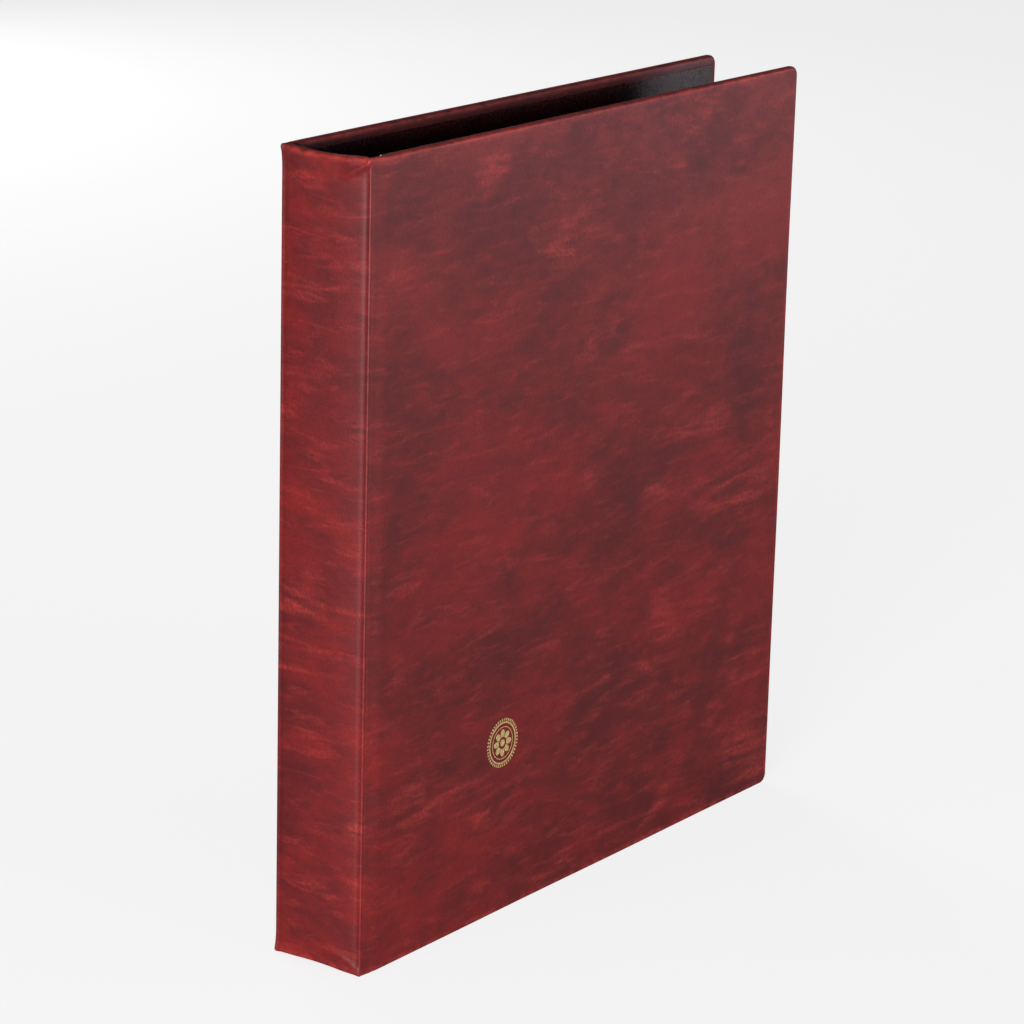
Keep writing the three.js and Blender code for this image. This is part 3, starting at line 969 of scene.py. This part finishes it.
def edge_wear(half, run, height):
    """How much a place on the outer face is rubbed: near the edges, corners and joint ridges."""
    from_end = np.minimum(height, ALBUM_HEIGHT - height) - half.edge
    from_fore = half.run_end - half.edge - run
    near_edge = bell(np.minimum(from_end, from_fore) / (1.1 * MM))
    ridge = 0.35 * bell((run - (half.arc_start + half.arc_end) / 2) / (0.8 * MM))
    return np.clip(np.maximum(near_edge * 0.8, ridge), 0, 1)


def bend_at_joint(piece):
    """Bakes the sheet's placement into its mesh."""
    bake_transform(piece)


def make_covering(side):
    """Half of the leatherette, from the middle of the spine to the fore edge, turned in over the boards."""
    points, faces, layers = covering_mesh(CaseHalf(side))
    piece = mesh_piece(SIDES[side] + "_covering", points, faces, leatherette(), layers)
    first_face_on_spine = piece.data.polygons[0]
    if first_face_on_spine.normal.x > 0:
        piece.data.flip_normals()
    thicken(piece, case_sizes().covering)
    bend_at_joint(piece)
    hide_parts(SIDES[side] + "_leatherette")
    if side < 0:
        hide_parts("spine_leatherette")


def make_spine_board():
    """The spine's board, with its long edges pressed to the shape of the covering."""
    half = CaseHalf(1)
    low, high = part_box("spine_board")
    across = np.linspace(low.y + 0.1 * MM, high.y - 0.1 * MM, 41)
    sunk = half.hollow(np.abs(across), np.full(len(across), ALBUM_HEIGHT / 2))
    skin = case_sizes().covering + 0.15 * MM
    outer = [(SPINE_X + max(d + skin, low.x - SPINE_X), y) for d, y in zip(sunk, across)]
    ring = outer + [(high.x, y) for _, y in reversed(outer)]
    drawn_in = 1.1 * MM
    points, faces = extruded(ring, low.z + drawn_in, high.z - drawn_in)
    piece = mesh_piece("spine_board_pressed", points, faces, grey_board())
    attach(piece, "spine_case")
    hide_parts("spine_board")


def extruded(ring, low, high):
    """A closed plan outline stood up between two heights."""
    count = len(ring)
    points = [(x, y, low) for x, y in ring] + [(x, y, high) for x, y in ring]
    sides = [(k, (k + 1) % count, count + (k + 1) % count, count + k) for k in range(count)]
    return points, sides + [tuple(range(count))[::-1], tuple(range(count, 2 * count))]


# ---------------------------------------------------------------- the lining


def lining_outline():
    """Plan of a cover's lining, from the spine across the joint to the fore edge margin."""
    spine_x = SPINE_FACE_X - 0.06 * MM
    cover_y = ALBUM_DEPTH / 2 - PANEL
    strip_y = ALBUM_DEPTH / 2 - 2.0 * MM
    turn = 1.0 * MM
    overlap_from = 15.0 * MM
    points = [(spine_x, y) for y in steps_between(overlap_from, strip_y - turn, 0.7 * MM)]
    for step in range(9):
        angle = step * math.pi / 16
        points.append((spine_x + turn * (1 - math.cos(angle)), strip_y - turn + turn * math.sin(angle)))
    board_x = SPINE_X + HINGE_STRIP
    rise_from, rise_to = board_x - 1.5 * MM, board_x + 1.2 * MM
    for x in steps_between(spine_x + turn + 0.5 * MM, rise_from, 0.5 * MM):
        points.append((x, strip_y))
    for x in steps_between(rise_from, rise_to, 0.25 * MM):
        share = float(smooth((x - rise_from) / (rise_to - rise_from)))
        points.append((x, strip_y + (cover_y - strip_y) * share))
    for x in steps_between(rise_to, CAD_HIGH.x - case_sizes().margin, COARSE):
        points.append((x, cover_y))
    points.append((CAD_HIGH.x - case_sizes().margin, cover_y))
    return np.array(points)


def make_lining(side):
    """End paper inside a cover. The edge of the turned-in leatherette shows through it as a low step."""
    sizes = case_sizes()
    paper, close, step_width = 0.2 * MM, 18 * MM, 2.4 * MM
    outline = lining_outline()
    low = sizes.margin
    near_end = [low] + steps_between(low + 1 * MM, close, 1.0 * MM)
    rows = near_end + steps_between(close, ALBUM_HEIGHT - close, COARSE)
    rows += [ALBUM_HEIGHT - height for height in reversed(near_end)]
    run = np.concatenate([[0], np.cumsum(np.hypot(*np.diff(outline, axis=0).T))])
    points, flat = [], []
    for k, (x, across) in enumerate(outline):
        for z in rows:
            from_edge = min(z, ALBUM_HEIGHT - z, CAD_HIGH.x - x)
            covered = 1 - float(smooth((from_edge - sizes.turn_in + step_width / 2) / step_width))
            sunk = 0.10 * MM * (1 - covered) if x > SPINE_X + HINGE_STRIP + 2 * MM else 0.0
            points.append((x, side * (across + sunk), z))
            flat.append((run[k], z))
    faces = grid_faces(len(outline), len(rows))
    piece = mesh_piece(SIDES[side] + "_lining_sheet", points, faces, lining_paper(), {"blank": flat})
    facing_out(piece, (0, -side, 0))
    thicken(piece, paper)
    bend_at_joint(piece)
    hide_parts(SIDES[side] + "_lining")


def make_spine_strip():
    """Lining strip down the inside of the spine, over the edges of the two cover linings."""
    sizes = case_sizes()
    low, high = sizes.margin, ALBUM_HEIGHT - sizes.margin
    half, above = 16.5 * MM, 0.14 * MM
    x = SPINE_FACE_X + above
    columns = steps_between(-half, half, 1.5 * MM) + [half]
    rows = steps_between(low, high, COARSE) + [high]
    points = [(x, y, z) for y in columns for z in rows]
    flat = [(y, z) for y in columns for z in rows]
    faces = grid_faces(len(columns), len(rows))
    piece = mesh_piece("spine_lining_strip", points, faces, lining_paper(), {"blank": flat})
    facing_out(piece, (1, 0, 0))
    thicken(piece, 0.18 * MM)
    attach(piece, "spine_case")
    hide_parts("spine_lining")


class ALBUM_OT_case(bpy.types.Operator):
    """Make the marbled leatherette covering, front and back"""

    bl_idname = "album.case"
    bl_label = "Case covering"

    def execute(self, context):
        for side in SIDES:
            make_covering(side)
        return {"FINISHED"}


class ALBUM_OT_boards(bpy.types.Operator):
    """Make the spine's board and finish the two cover boards"""

    bl_idname = "album.boards"
    bl_label = "Boards"

    def execute(self, context):
        make_spine_board()
        for name in ("front_board", "back_board"):
            dress(name, grey_board())
        return {"FINISHED"}


class ALBUM_OT_lining(bpy.types.Operator):
    """Make the linings of the covers and the spine"""

    bl_idname = "album.lining"
    bl_label = "Linings"

    def execute(self, context):
        for side in SIDES:
            make_lining(side)
        make_spine_strip()
        return {"FINISHED"}


def dress(node, made_material):
    """Gives a CAD node its finished material."""
    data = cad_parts[node].data
    data.materials.clear()
    data.materials.append(made_material)


# ---------------------------------------------------------------- ring mechanism


def ring_centre(index):
    """Centre and radius of one ring, from its two half rings in the frame."""
    low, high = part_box(f"front_half_ring_{index}")
    back_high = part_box(f"back_half_ring_{index}")[1]
    wire = ring_sizes().wire
    radius = (back_high.y - low.y) / 2 - wire
    return Vector((high.x - wire - radius, 0, (low.z + high.z) / 2)), radius


def tube(path, radii, sides=20):
    """Closed tube round a path in one plane of constant Z: radii has one radius per path point."""
    path = np.array(path)
    along = np.gradient(path, axis=0)
    along /= np.linalg.norm(along, axis=1)[:, None]
    level = np.stack([along[:, 1], -along[:, 0], 0 * along[:, 0]], axis=1)
    points = []
    for centre, out, radius in zip(path, level, radii):
        for k in range(sides):
            angle = 2 * math.pi * k / sides
            points.append(centre + radius * (math.cos(angle) * out + math.sin(angle) * np.array([0, 0, 1])))
    return points, closed_tube(len(path), sides)


def make_half_ring(side, index):
    """Half ring of polished wire: its tip is rounded over, and it runs down into the housing."""
    centre, radius = ring_centre(index)
    wire = ring_sizes().wire
    end_turn = math.radians(133)
    tip_gap, rounding = 0.04 * MM, 0.35 * MM
    shares = (0, 0.08, 0.3, 0.6, 1.0)
    turns = [(tip_gap + rounding * share) / radius for share in shares]
    radii = [wire - rounding + rounding * math.sqrt(1 - (1 - share) ** 2) for share in shares]
    turns += list(np.linspace(turns[-1], end_turn, 42)[1:])
    radii += [wire] * (len(turns) - len(radii))
    path = [centre + radius * Vector((math.cos(turn), side * math.sin(turn), 0)) for turn in turns]
    points, faces = tube([tuple(p) for p in path], radii)
    name = f"{SIDES[side]}_half_ring_{index}"
    piece = mesh_piece(name + "_wire", points, faces, nickel_plate())
    facing_outward(piece)
    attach(piece, SIDES[side] + "_rings")
    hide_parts(name)


def housing_section(low, high):
    """Plan outline of the housing's sheet, from one lip over the crown to the other lip."""
    half = high.y
    shoulder, crown = 3.4 * MM, high.x - low.x + 0.3 * MM
    bend, curl, lip_rise = 0.9 * MM, 0.7 * MM, 0.3 * MM
    rise = crown - shoulder
    radius = (half**2 + rise**2) / (2 * rise)
    reach = math.asin((half - bend) / radius)
    right = [(crown + radius * (math.cos(a) - 1), radius * math.sin(a)) for a in np.linspace(0, reach, 22)]
    height, across = right[-1]
    for t in np.linspace(0.35, math.pi / 2, 5):
        right.append((height - bend * math.sin(t) * 0.9, across + bend * (1 - math.cos(t))))
    curl_from = lip_rise + curl
    right += [(h, half) for h in np.linspace(right[-1][0] - 0.3 * MM, curl_from, 4)]
    for t in np.linspace(0, math.pi / 2, 5)[1:]:
        right.append((curl_from - curl * math.sin(t), half - curl * (1 - math.cos(t))))
    right += [(lip_rise, half - width) for width in (1.4 * MM, 2.2 * MM)]
    left = [(h, -v) for h, v in reversed(right[1:])]
    return [(SPINE_FACE_X + h, v) for h, v in left + right]


def make_housing():
    """Arched channel of pressed sheet, notched where the rings come out."""
    low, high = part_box("ring_housing")
    section = housing_section(low, high)
    sheet, notch, notch_from = 0.8 * MM, 2.4 * MM, 7.0 * MM
    centres = [ring_centre(index)[0].z for index in RING_NUMBERS]
    lines = {low.z, high.z}
    for inset in (0.6 * MM, 2 * MM, 6 * MM):
        lines |= {low.z + inset, high.z - inset}
    for centre in centres:
        lines |= {centre + share * notch for share in (-1, -0.5, 0.5, 1)}
    lines = sorted(lines)
    filled = []
    for a, b in zip(lines, lines[1:]):
        filled += steps_between(a, b, 6 * MM)
    filled.append(lines[-1])
    points = [(x, y, z) for x, y in section for z in filled]
    faces = []
    for face in grid_faces(len(section), len(filled)):
        middle = sum((Vector(points[k]) for k in face), Vector()) / 4
        beside_ring = min(abs(middle.z - centre) for centre in centres) < notch
        if not (beside_ring and abs(middle.y) > notch_from):
            faces.append(face)
    piece = mesh_piece("ring_housing_shell", points, faces, nickel_plate())
    with edited(piece) as mesh:
        loose = [vert for vert in mesh.verts if not vert.link_faces]
        bmesh.ops.delete(mesh, geom=loose, context="VERTS")
    facing_out(piece, (1, 0, 0))
    thicken(piece, sheet)
    soften(piece, 0.14 * MM)
    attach(piece, "spine_case")
    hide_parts("ring_housing")


def lathe(profile, centre, sides=48):
    """Turns a profile of (height, radius) about an axis along X."""
    points = []
    for height, radius in profile:
        for k in range(sides):
            angle = 2 * math.pi * k / sides
            out = (radius * math.cos(angle), radius * math.sin(angle))
            points.append((centre[0] + height, centre[1] + out[0], centre[2] + out[1]))
    return points, closed_tube(len(profile), sides)


def make_rivet(end):
    """Domed rivet through the housing, the lining and the spine's board."""
    name = f"housing_rivet_{end}"
    low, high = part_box(name)
    middle = (low + high) / 2
    foot, head, post = 5.0 * MM, 3.4 * MM, 2.2 * MM
    seat = high.x - SPINE_FACE_X - 0.6 * MM
    start = low.x - SPINE_FACE_X
    turns = np.linspace(0, 1.4, 9)
    dome = [(seat + 0.15 * MM + 0.75 * MM * math.sin(turn), head * math.cos(turn)) for turn in turns]
    profile = [(start, foot - 0.2 * MM), (start + 0.2 * MM, foot), (start + 0.6 * MM, foot)]
    profile += [(start + 0.7 * MM, post), (seat - 0.05 * MM, post), (seat - 0.05 * MM, head - 0.1 * MM)]
    points, faces = lathe(profile + dome, (SPINE_FACE_X, middle.y, middle.z))
    piece = mesh_piece(name + "_turned", points, faces, nickel_plate())
    facing_outward(piece)
    crisp(piece)
    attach(piece, "spine_case")
    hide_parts(name)


def make_lever(end):
    """Press lever: one strip of sheet rolled round its pin, with a raised tab and a rolled lip."""
    outward = LEVERS[end]
    low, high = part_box(f"{end}_lever")
    pin_low, pin_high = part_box(f"{end}_lever_pin")
    pivot = (pin_low + pin_high) / 2
    half_sheet, barrel, lip, heel, tab = 0.5 * MM, 1.9 * MM, 0.8 * MM, 3.4 * MM, 10 * MM
    rise = math.radians(24)

    def centre_line(t):
        if t <= 0:
            return Vector((t, 0)), Vector((0, 1))
        return Vector((t * math.cos(rise), t * math.sin(rise))), Vector((-math.sin(rise), math.cos(rise)))

    def half_height(t):
        roll = math.sqrt(max(0.0, 1 - (t / barrel) ** 2)) * barrel
        end_roll = math.sqrt(max(0.0, 1 - ((t - tab) / lip) ** 2)) * lip
        return max(half_sheet, roll, end_roll) if t < tab + lip - 0.01 * MM else 0.12 * MM

    stations = list(np.linspace(-heel, -barrel, 4))
    stations += [-barrel * math.cos(a) for a in np.linspace(0.2, math.pi - 0.2, 17)]
    stations += list(np.linspace(barrel + 0.2 * MM, tab - lip - 0.2 * MM, 7))
    stations += [tab - lip * math.cos(a) for a in np.linspace(0.3, math.pi, 11)]
    upper, lower = [], []
    for t in stations:
        middle, out = centre_line(t)
        upper.append(middle + out * half_height(t))
        lower.append(middle - out * half_height(t))
    ring = upper + lower[::-1]
    count = len(ring)
    points = [(pivot.x + p.y, y, pivot.z + outward * p.x) for y in (low.y, high.y) for p in ring]
    faces = [(k, (k + 1) % count, count + (k + 1) % count, count + k) for k in range(count)]
    strips = [(k, k + 1, count - 2 - k, count - 1 - k) for k in range(len(upper) - 1)]
    faces += strips + [tuple(i + count for i in reversed(face)) for face in strips]
    piece = mesh_piece(f"{end}_lever_strip", points, faces, nickel_plate())
    facing_outward(piece)
    soften(piece, 0.22 * MM, 3)
    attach(piece, f"{end}_press_lever")
    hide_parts(f"{end}_lever")


class ALBUM_OT_housing(bpy.types.Operator):
    """Make the arched steel housing of the rings"""

    bl_idname = "album.housing"
    bl_label = "Ring housing"

    def execute(self, context):
        make_housing()
        return {"FINISHED"}


class ALBUM_OT_rings(bpy.types.Operator):
    """Make the half rings and finish the blades that carry them"""

    bl_idname = "album.rings"
    bl_label = "Rings"

    def execute(self, context):
        for side, name in SIDES.items():
            for index in RING_NUMBERS:
                make_half_ring(side, index)
            dress(name + "_blade", nickel_plate())
        return {"FINISHED"}


class ALBUM_OT_rivets(bpy.types.Operator):
    """Make the two rivets that hold the housing"""

    bl_idname = "album.rivets"
    bl_label = "Rivets"

    def execute(self, context):
        for end in LEVERS:
            make_rivet(end)
        return {"FINISHED"}


class ALBUM_OT_levers(bpy.types.Operator):
    """Make the press levers and finish their pins"""

    bl_idname = "album.levers"
    bl_label = "Press levers"

    def execute(self, context):
        for end in LEVERS:
            make_lever(end)
            dress(f"{end}_lever_pin", nickel_plate())
        return {"FINISHED"}


# ---------------------------------------------------------------- pages


HOLE_CELLS = 6
HOLE_RADIUS = 3.0 * MM


def punched_grid(low, high, holes, columns, rows):
    """Upright sheet grid in X and Z. Round each hole, a square block of it closes in on the hole's rim."""
    block = 6.0 * MM
    hole_x = holes[0][0]
    block_lines = list(np.linspace(hole_x - block, hole_x + block, HOLE_CELLS + 1))
    xs = sorted({low.x, *block_lines, *columns, high.x})
    zs = {low.z, high.z}
    for _, z in holes:
        zs |= set(np.linspace(z - block, z + block, HOLE_CELLS + 1))
    free = [row for row in rows if min(abs(row - z) for _, z in holes) > block + 1.0 * MM]
    xs = without_doubles(xs)
    zs = without_doubles(sorted(zs | set(free)))
    points = [(x, z) for x in xs for z in zs]
    faces = []
    for face in grid_faces(len(xs), len(zs)):
        middle_x = sum(points[k][0] for k in face) / 4
        middle_z = sum(points[k][1] for k in face) / 4
        if abs(middle_x - hole_x) > block or min(abs(middle_z - z) for _, z in holes) > block:
            faces.append(face)
    places = {cell(place): k for k, place in enumerate(points)}
    for hx, hz in holes:
        line = np.linspace(-block, block, HOLE_CELLS + 1)
        rim = [(v, -block) for v in line[:-1]] + [(block, v) for v in line[:-1]]
        rim += [(-v, block) for v in line[:-1]] + [(-block, -v) for v in line[:-1]]
        previous = [places[cell((hx + a, hz + b))] for a, b in rim]
        for share in (0.5, 1.0):
            ring = []
            for a, b in rim:
                length = math.hypot(a, b)
                inward = 1 - share + HOLE_RADIUS / length * share
                ring.append(len(points))
                points.append((hx + a * inward, hz + b * inward))
            for k in range(len(rim)):
                n = (k + 1) % len(rim)
                faces.append((previous[k], previous[n], ring[n], ring[k]))
            previous = ring
    cut = 0.8 * MM
    for x, inward_x in ((low.x, cut), (high.x, -cut)):
        for z, inward_z in ((low.z, cut), (high.z, -cut)):
            points[places[cell((x, z))]] = (x + inward_x, z + inward_z)
    return points, faces


def without_doubles(values):
    """Rising values, less those that repeat the one before."""
    return [value for k, value in enumerate(values) if k == 0 or value - values[k - 1] > 1e-6]


def ring_holes(low):
    """Centres of the punched holes. The sheets hang, so the wire lies in the top of each hole."""
    from_edge, hang = 12 * MM, 1.2 * MM
    return [(low.x + from_edge, ring_centre(index)[0].z - hang) for index in RING_NUMBERS]


def seam_lines(low, high, count, width):
    """Middles of the welded seams that part a length into pockets."""
    return np.linspace(low + width / 2, high - width / 2, count + 1)


def make_coin_page(index):
    """Clear page: two films welded along a grid of seams, with a punched strip at the rings."""
    sizes = page_sizes()
    name = f"coin_page_{index}"
    low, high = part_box(name)
    strip = low.x + sizes.strip
    upright = seam_lines(strip, high.x, sizes.columns, sizes.weld)
    level = seam_lines(low.z, high.z, sizes.rows, sizes.weld)

    def lines(seams):
        made = []
        for a, b in zip(seams, seams[1:]):
            for t in (-1, -0.5, 0.5, 1, 1.7, 3.0):
                made += [a + t * sizes.weld / 2, b - t * sizes.weld / 2]
            made += list(np.linspace(a + 2.4 * sizes.weld, b - 2.4 * sizes.weld, 7))
        return made

    columns = [x for x in lines(upright) if strip - sizes.weld < x < high.x]
    rows = [z for z in lines(level) if low.z < z < high.z]
    holes = ring_holes(low)
    points, faces = punched_grid(low, high, holes, columns, rows)
    flat = np.array(points)
    to_upright = np.min(np.abs(flat[:, :1] - upright[None, :]), axis=1)
    to_level = np.min(np.abs(flat[:, 1:] - level[None, :]), axis=1)
    on_strip = 1 - smooth((flat[:, 0] - strip) / (0.6 * MM))
    from_seam = np.minimum(to_upright, to_level) - sizes.weld / 2
    pocket = smooth(from_seam / (2.6 * MM)) * (1 - on_strip)
    weld = np.maximum(1 - smooth(from_seam / (0.4 * MM)), on_strip * 0.55)
    pillow = 0.20 * MM * pocket * (0.8 + 0.2 * np.sin(flat[:, 0] * 190 + index) * np.sin(flat[:, 1] * 170))
    half_film = 0.07 * MM
    middle = (low.y + high.y) / 2
    skins = [
        np.stack([flat[:, 0], middle + face_side * (half_film + pillow), flat[:, 1]], axis=1)
        for face_side in (-1, 1)
    ]
    count = len(points)
    outer = [tuple(reversed(face)) for face in faces] + [tuple(k + count for k in face) for face in faces]
    uses = {(a, b): True for face in faces for a, b in zip(face, face[1:] + face[:1])}
    outer += [(a, b, b + count, a + count) for a, b in uses if (b, a) not in uses]
    layers = {"blank": np.concatenate([flat, flat + 0.37]), "weld": np.concatenate([weld, weld])}
    piece = mesh_piece(name + "_film", np.concatenate(skins), outer, pocket_film(), layers)
    facing_outward(piece)
    crisp(piece, 50)
    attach(piece, "sheet_" + name)
    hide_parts(name)


def make_interleaf(index):
    """Black card interleaf, punched for the rings."""
    name = f"interleaf_{index}"
    low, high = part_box(name)
    columns = steps_between(low.x + 20 * MM, high.x, 12 * MM)
    rows = steps_between(low.z, high.z, 12 * MM)
    points, faces = punched_grid(low, high, ring_holes(low), columns, rows)
    sheet = [(x, low.y, z) for x, z in points]
    piece = mesh_piece(name + "_card", sheet, faces, interleaf_card())
    facing_out(piece, (0, -1, 0))
    thicken(piece, high.y - low.y)
    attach(piece, "sheet_" + name)
    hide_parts(name)


class ALBUM_OT_pages(bpy.types.Operator):
    """Make the coin pages"""

    bl_idname = "album.pages"
    bl_label = "Coin pages"

    def execute(self, context):
        for index in SHEET_NUMBERS:
            make_coin_page(index)
        return {"FINISHED"}


class ALBUM_OT_interleaves(bpy.types.Operator):
    """Make the card interleaves"""

    bl_idname = "album.interleaves"
    bl_label = "Interleaves"

    def execute(self, context):
        for index in SHEET_NUMBERS:
            make_interleaf(index)
        return {"FINISHED"}


# ---------------------------------------------------------------- stamp


def polar_patch(inner, outer, start, end, steps):
    """Flat patch from the inner radius to the outer one, which is a function of the turn."""
    points = []
    for turn in np.linspace(start, end, steps + 1):
        for radius in (inner, outer(turn)):
            points.append((radius * math.cos(turn), radius * math.sin(turn)))
    faces = [(2 * k, 2 * k + 1, 2 * k + 3, 2 * k + 2) for k in range(steps)]
    return points, faces


def round_band(inner, outer, steps, start=0.0, end=2 * math.pi):
    """Flat band between two fixed radii."""
    return polar_patch(inner, lambda turn: outer, start, end, steps)


def roundel(radius):
    """Plain coin motif: a milled rim, two rings, and a rosette of eight petals round a dot."""
    ticks, petals = 44, 8
    parts = []
    for k in range(ticks):
        start = 2 * math.pi * k / ticks
        parts.append(round_band(radius * 0.90, radius, 2, start, start + math.pi / ticks * 1.05))
    parts.append(round_band(radius * 0.80, radius * 0.865, 96))
    parts.append(round_band(radius * 0.64, radius * 0.67, 96))
    spread = math.pi / petals * 0.86
    for k in range(petals):
        axis = 2 * math.pi * k / petals

        def petal(turn, axis=axis):
            return radius * (0.30 + 0.26 * math.cos((turn - axis) * petals / 2) ** 0.7)

        parts.append(polar_patch(radius * 0.25, petal, axis - spread, axis + spread, 14))
    parts.append(round_band(0.0005 * radius, radius * 0.14, 32))
    return joined(parts)


class ALBUM_OT_stamp(bpy.types.Operator):
    """Stamp a plain gold roundel on the front cover"""

    bl_idname = "album.stamp"
    bl_label = "Foil stamp"

    def execute(self, context):
        sizes = stamp_sizes()
        half = CaseHalf(-1)
        flat, faces = roundel(sizes.radius)
        flat = np.array(flat)
        run = half.cover_run(sizes.from_spine) + flat[:, 0]
        proud, foil = 0.03 * MM, 0.08 * MM
        points = half.place(run, sizes.height + flat[:, 1], np.full(len(flat), -proud))
        piece = mesh_piece("foil_stamp", points, faces, gold_foil())
        facing_out(piece, (0, -1, 0))
        thicken(piece, foil)
        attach(piece, "front_cover")
        return {"FINISHED"}


# ---------------------------------------------------------------- stage


def aim(thing, target):
    """Turns a light to face the target."""
    direction = Vector(target) - thing.location
    thing.rotation_mode = "QUATERNION"
    thing.rotation_quaternion = direction.to_track_quat("-Z", "Y")


def soft_light(name, place, size, power, tint=(1, 1, 1)):
    """A rectangular light aimed at the middle of the album."""
    data = bpy.data.lights.new(name, "AREA")
    data.shape = "RECTANGLE"
    data.size, data.size_y = size
    data.energy = power
    data.color = tint
    made = bpy.data.objects.new(name, data)
    bpy.context.scene.collection.objects.link(made)
    made.location = place
    aim(made, (0, 0, ALBUM_HEIGHT / 2))


def make_camera():
    """Long lens a little above the album, seeing the spine and the front cover."""
    azimuth, elevation, roll = math.radians(-54.1457), math.radians(15.9876), math.radians(1.4649)
    distance, focal_length = 4.7486 * ALBUM_HEIGHT, 133.689
    aim_right, aim_down = 0.01981 * ALBUM_HEIGHT, 0.00422 * ALBUM_HEIGHT
    flat_back = Vector((math.sin(azimuth), -math.cos(azimuth), 0))
    back = math.cos(elevation) * flat_back + Vector((0, 0, math.sin(elevation)))
    level = Vector((math.cos(azimuth), math.sin(azimuth), 0))
    upright = back.cross(level)
    right = math.cos(roll) * level + math.sin(roll) * upright
    up = math.cos(roll) * upright - math.sin(roll) * level
    centre = Vector((SPINE_X + 0.35 * ALBUM_HEIGHT, 0, ALBUM_HEIGHT / 2))
    target = centre + aim_right * right - aim_down * up
    data = bpy.data.cameras.new("camera")
    data.sensor_width = 36.0
    data.lens = focal_length
    camera = bpy.data.objects.new("camera", data)
    bpy.context.scene.collection.objects.link(camera)
    axes = Matrix((right, up, back)).transposed()
    camera.matrix_world = Matrix.Translation(target + back * distance) @ axes.to_4x4()
    data.clip_start = 0.05
    data.clip_end = 50.0
    bpy.context.scene.camera = camera


def floor_material():
    """Pale floor. It is lifted for the camera, and darker where it lights the album."""

    def build(tree, shader):
        where = tree.add("ShaderNodeTexCoord").outputs["Object"]
        cloud = tree.noise(where, 3.0, 3.0, 0.5)
        pale = tree.mix(cloud, (0.86, 0.86, 0.86, 1), (0.89, 0.89, 0.89, 1))
        tree.put(shader.inputs["Base Color"], pale)
        shader.inputs["Roughness"].default_value = 0.9
        shader.inputs["Specular IOR Level"].default_value = 0.1
        glow = tree.add("ShaderNodeEmission", {"Color": WHITE, "Strength": 1.0})
        bounce = tree.add("ShaderNodeBsdfDiffuse", {"Color": (0.35, 0.35, 0.35, 1)})
        lifted = tree.blended(0.80, shader, glow)
        out = next(node for node in tree.tree.nodes if node.type == "OUTPUT_MATERIAL")
        tree.put(out.inputs["Surface"], tree.for_camera(bounce, lifted).outputs[0])

    return material("pale_floor", build)


def make_world():
    """White surroundings for the camera, and a dim even light for everything else."""
    world = bpy.data.worlds.new("studio")
    bpy.context.scene.world = world
    world.use_nodes = True
    world.node_tree.nodes.clear()
    tree = Tree(world.node_tree)
    dim = tree.add("ShaderNodeBackground", {"Color": WHITE, "Strength": 0.11})
    seen = tree.add("ShaderNodeBackground", {"Color": WHITE, "Strength": 1.0})
    tree.add("ShaderNodeOutputWorld", {"Surface": tree.for_camera(dim, seen).outputs[0]})


class ALBUM_OT_stage(bpy.types.Operator):
    """Set up the pale floor, the soft lights and the camera"""

    bl_idname = "album.stage"
    bl_label = "Stage"

    def execute(self, context):
        reach = 12.0
        corners = [(-reach, -reach, 0), (reach, -reach, 0), (reach, reach, 0), (-reach, reach, 0)]
        floor = mesh_piece("floor", corners, [(0, 1, 2, 3)], floor_material())
        make_world()
        soft_light("spine_light", (-1.75, -0.70, 0.32), (0.7, 0.34), 50)
        soft_light("band_light", (-1.93, 0.34, 0.28), (0.4, 0.5), 10, (1.0, 0.92, 0.95))
        soft_light("cover_light", (0.2, -2.1, 0.30), (0.9, 0.3), 20)
        soft_light("haze_light", (1.6, -1.30, 0.36), (0.8, 0.45), 9.5, (1.0, 0.90, 1.0))
        soft_light("rear_light", (0.9, 2.0, 0.6), (1.0, 0.6), 22)
        soft_light("top_light", (-0.2, 0.1, 2.2), (0.8, 0.8), 1.5)
        context.scene.view_settings.view_transform = "Standard"
        make_camera()
        return {"FINISHED"}


class ALBUM_PT_panel(bpy.types.Panel):
    """Lists the album's pieces and their sizes"""

    bl_idname = "ALBUM_PT_panel"
    bl_label = "Coin album"
    bl_space_type = "VIEW_3D"
    bl_region_type = "UI"
    bl_category = "Coin album"

    def draw(self, context):
        for kind in OPERATORS:
            self.layout.operator(kind.bl_idname)
        for sizes in (case_sizes(), ring_sizes(), page_sizes(), stamp_sizes()):
            box = self.layout.box()
            for name in sizes.bl_rna.properties.keys():
                if name not in {"rna_type", "name"}:
                    box.prop(sizes, name)


SIZE_GROUPS = {
    "album_case": CaseSizes,
    "album_rings": RingSizes,
    "album_pages": PageSizes,
    "album_stamp": StampSizes,
}
OPERATORS = (
    ALBUM_OT_stage,
    ALBUM_OT_case,
    ALBUM_OT_boards,
    ALBUM_OT_lining,
    ALBUM_OT_housing,
    ALBUM_OT_rings,
    ALBUM_OT_rivets,
    ALBUM_OT_levers,
    ALBUM_OT_pages,
    ALBUM_OT_interleaves,
    ALBUM_OT_stamp,
)


def register():
    for name, kind in SIZE_GROUPS.items():
        bpy.utils.register_class(kind)
        setattr(bpy.types.Scene, name, bpy.props.PointerProperty(type=kind))
    for kind in (*OPERATORS, ALBUM_PT_panel):
        bpy.utils.register_class(kind)


def unregister():
    for kind in (ALBUM_PT_panel, *reversed(OPERATORS)):
        bpy.utils.unregister_class(kind)
    for name, kind in SIZE_GROUPS.items():
        delattr(bpy.types.Scene, name)
        bpy.utils.unregister_class(kind)


def main():
    """Makes every piece and the stage."""
    register()
    for kind in OPERATORS:
        section, operator = kind.bl_idname.split(".")
        getattr(getattr(bpy.ops, section), operator)()


if __name__ == "__main__":
    main()
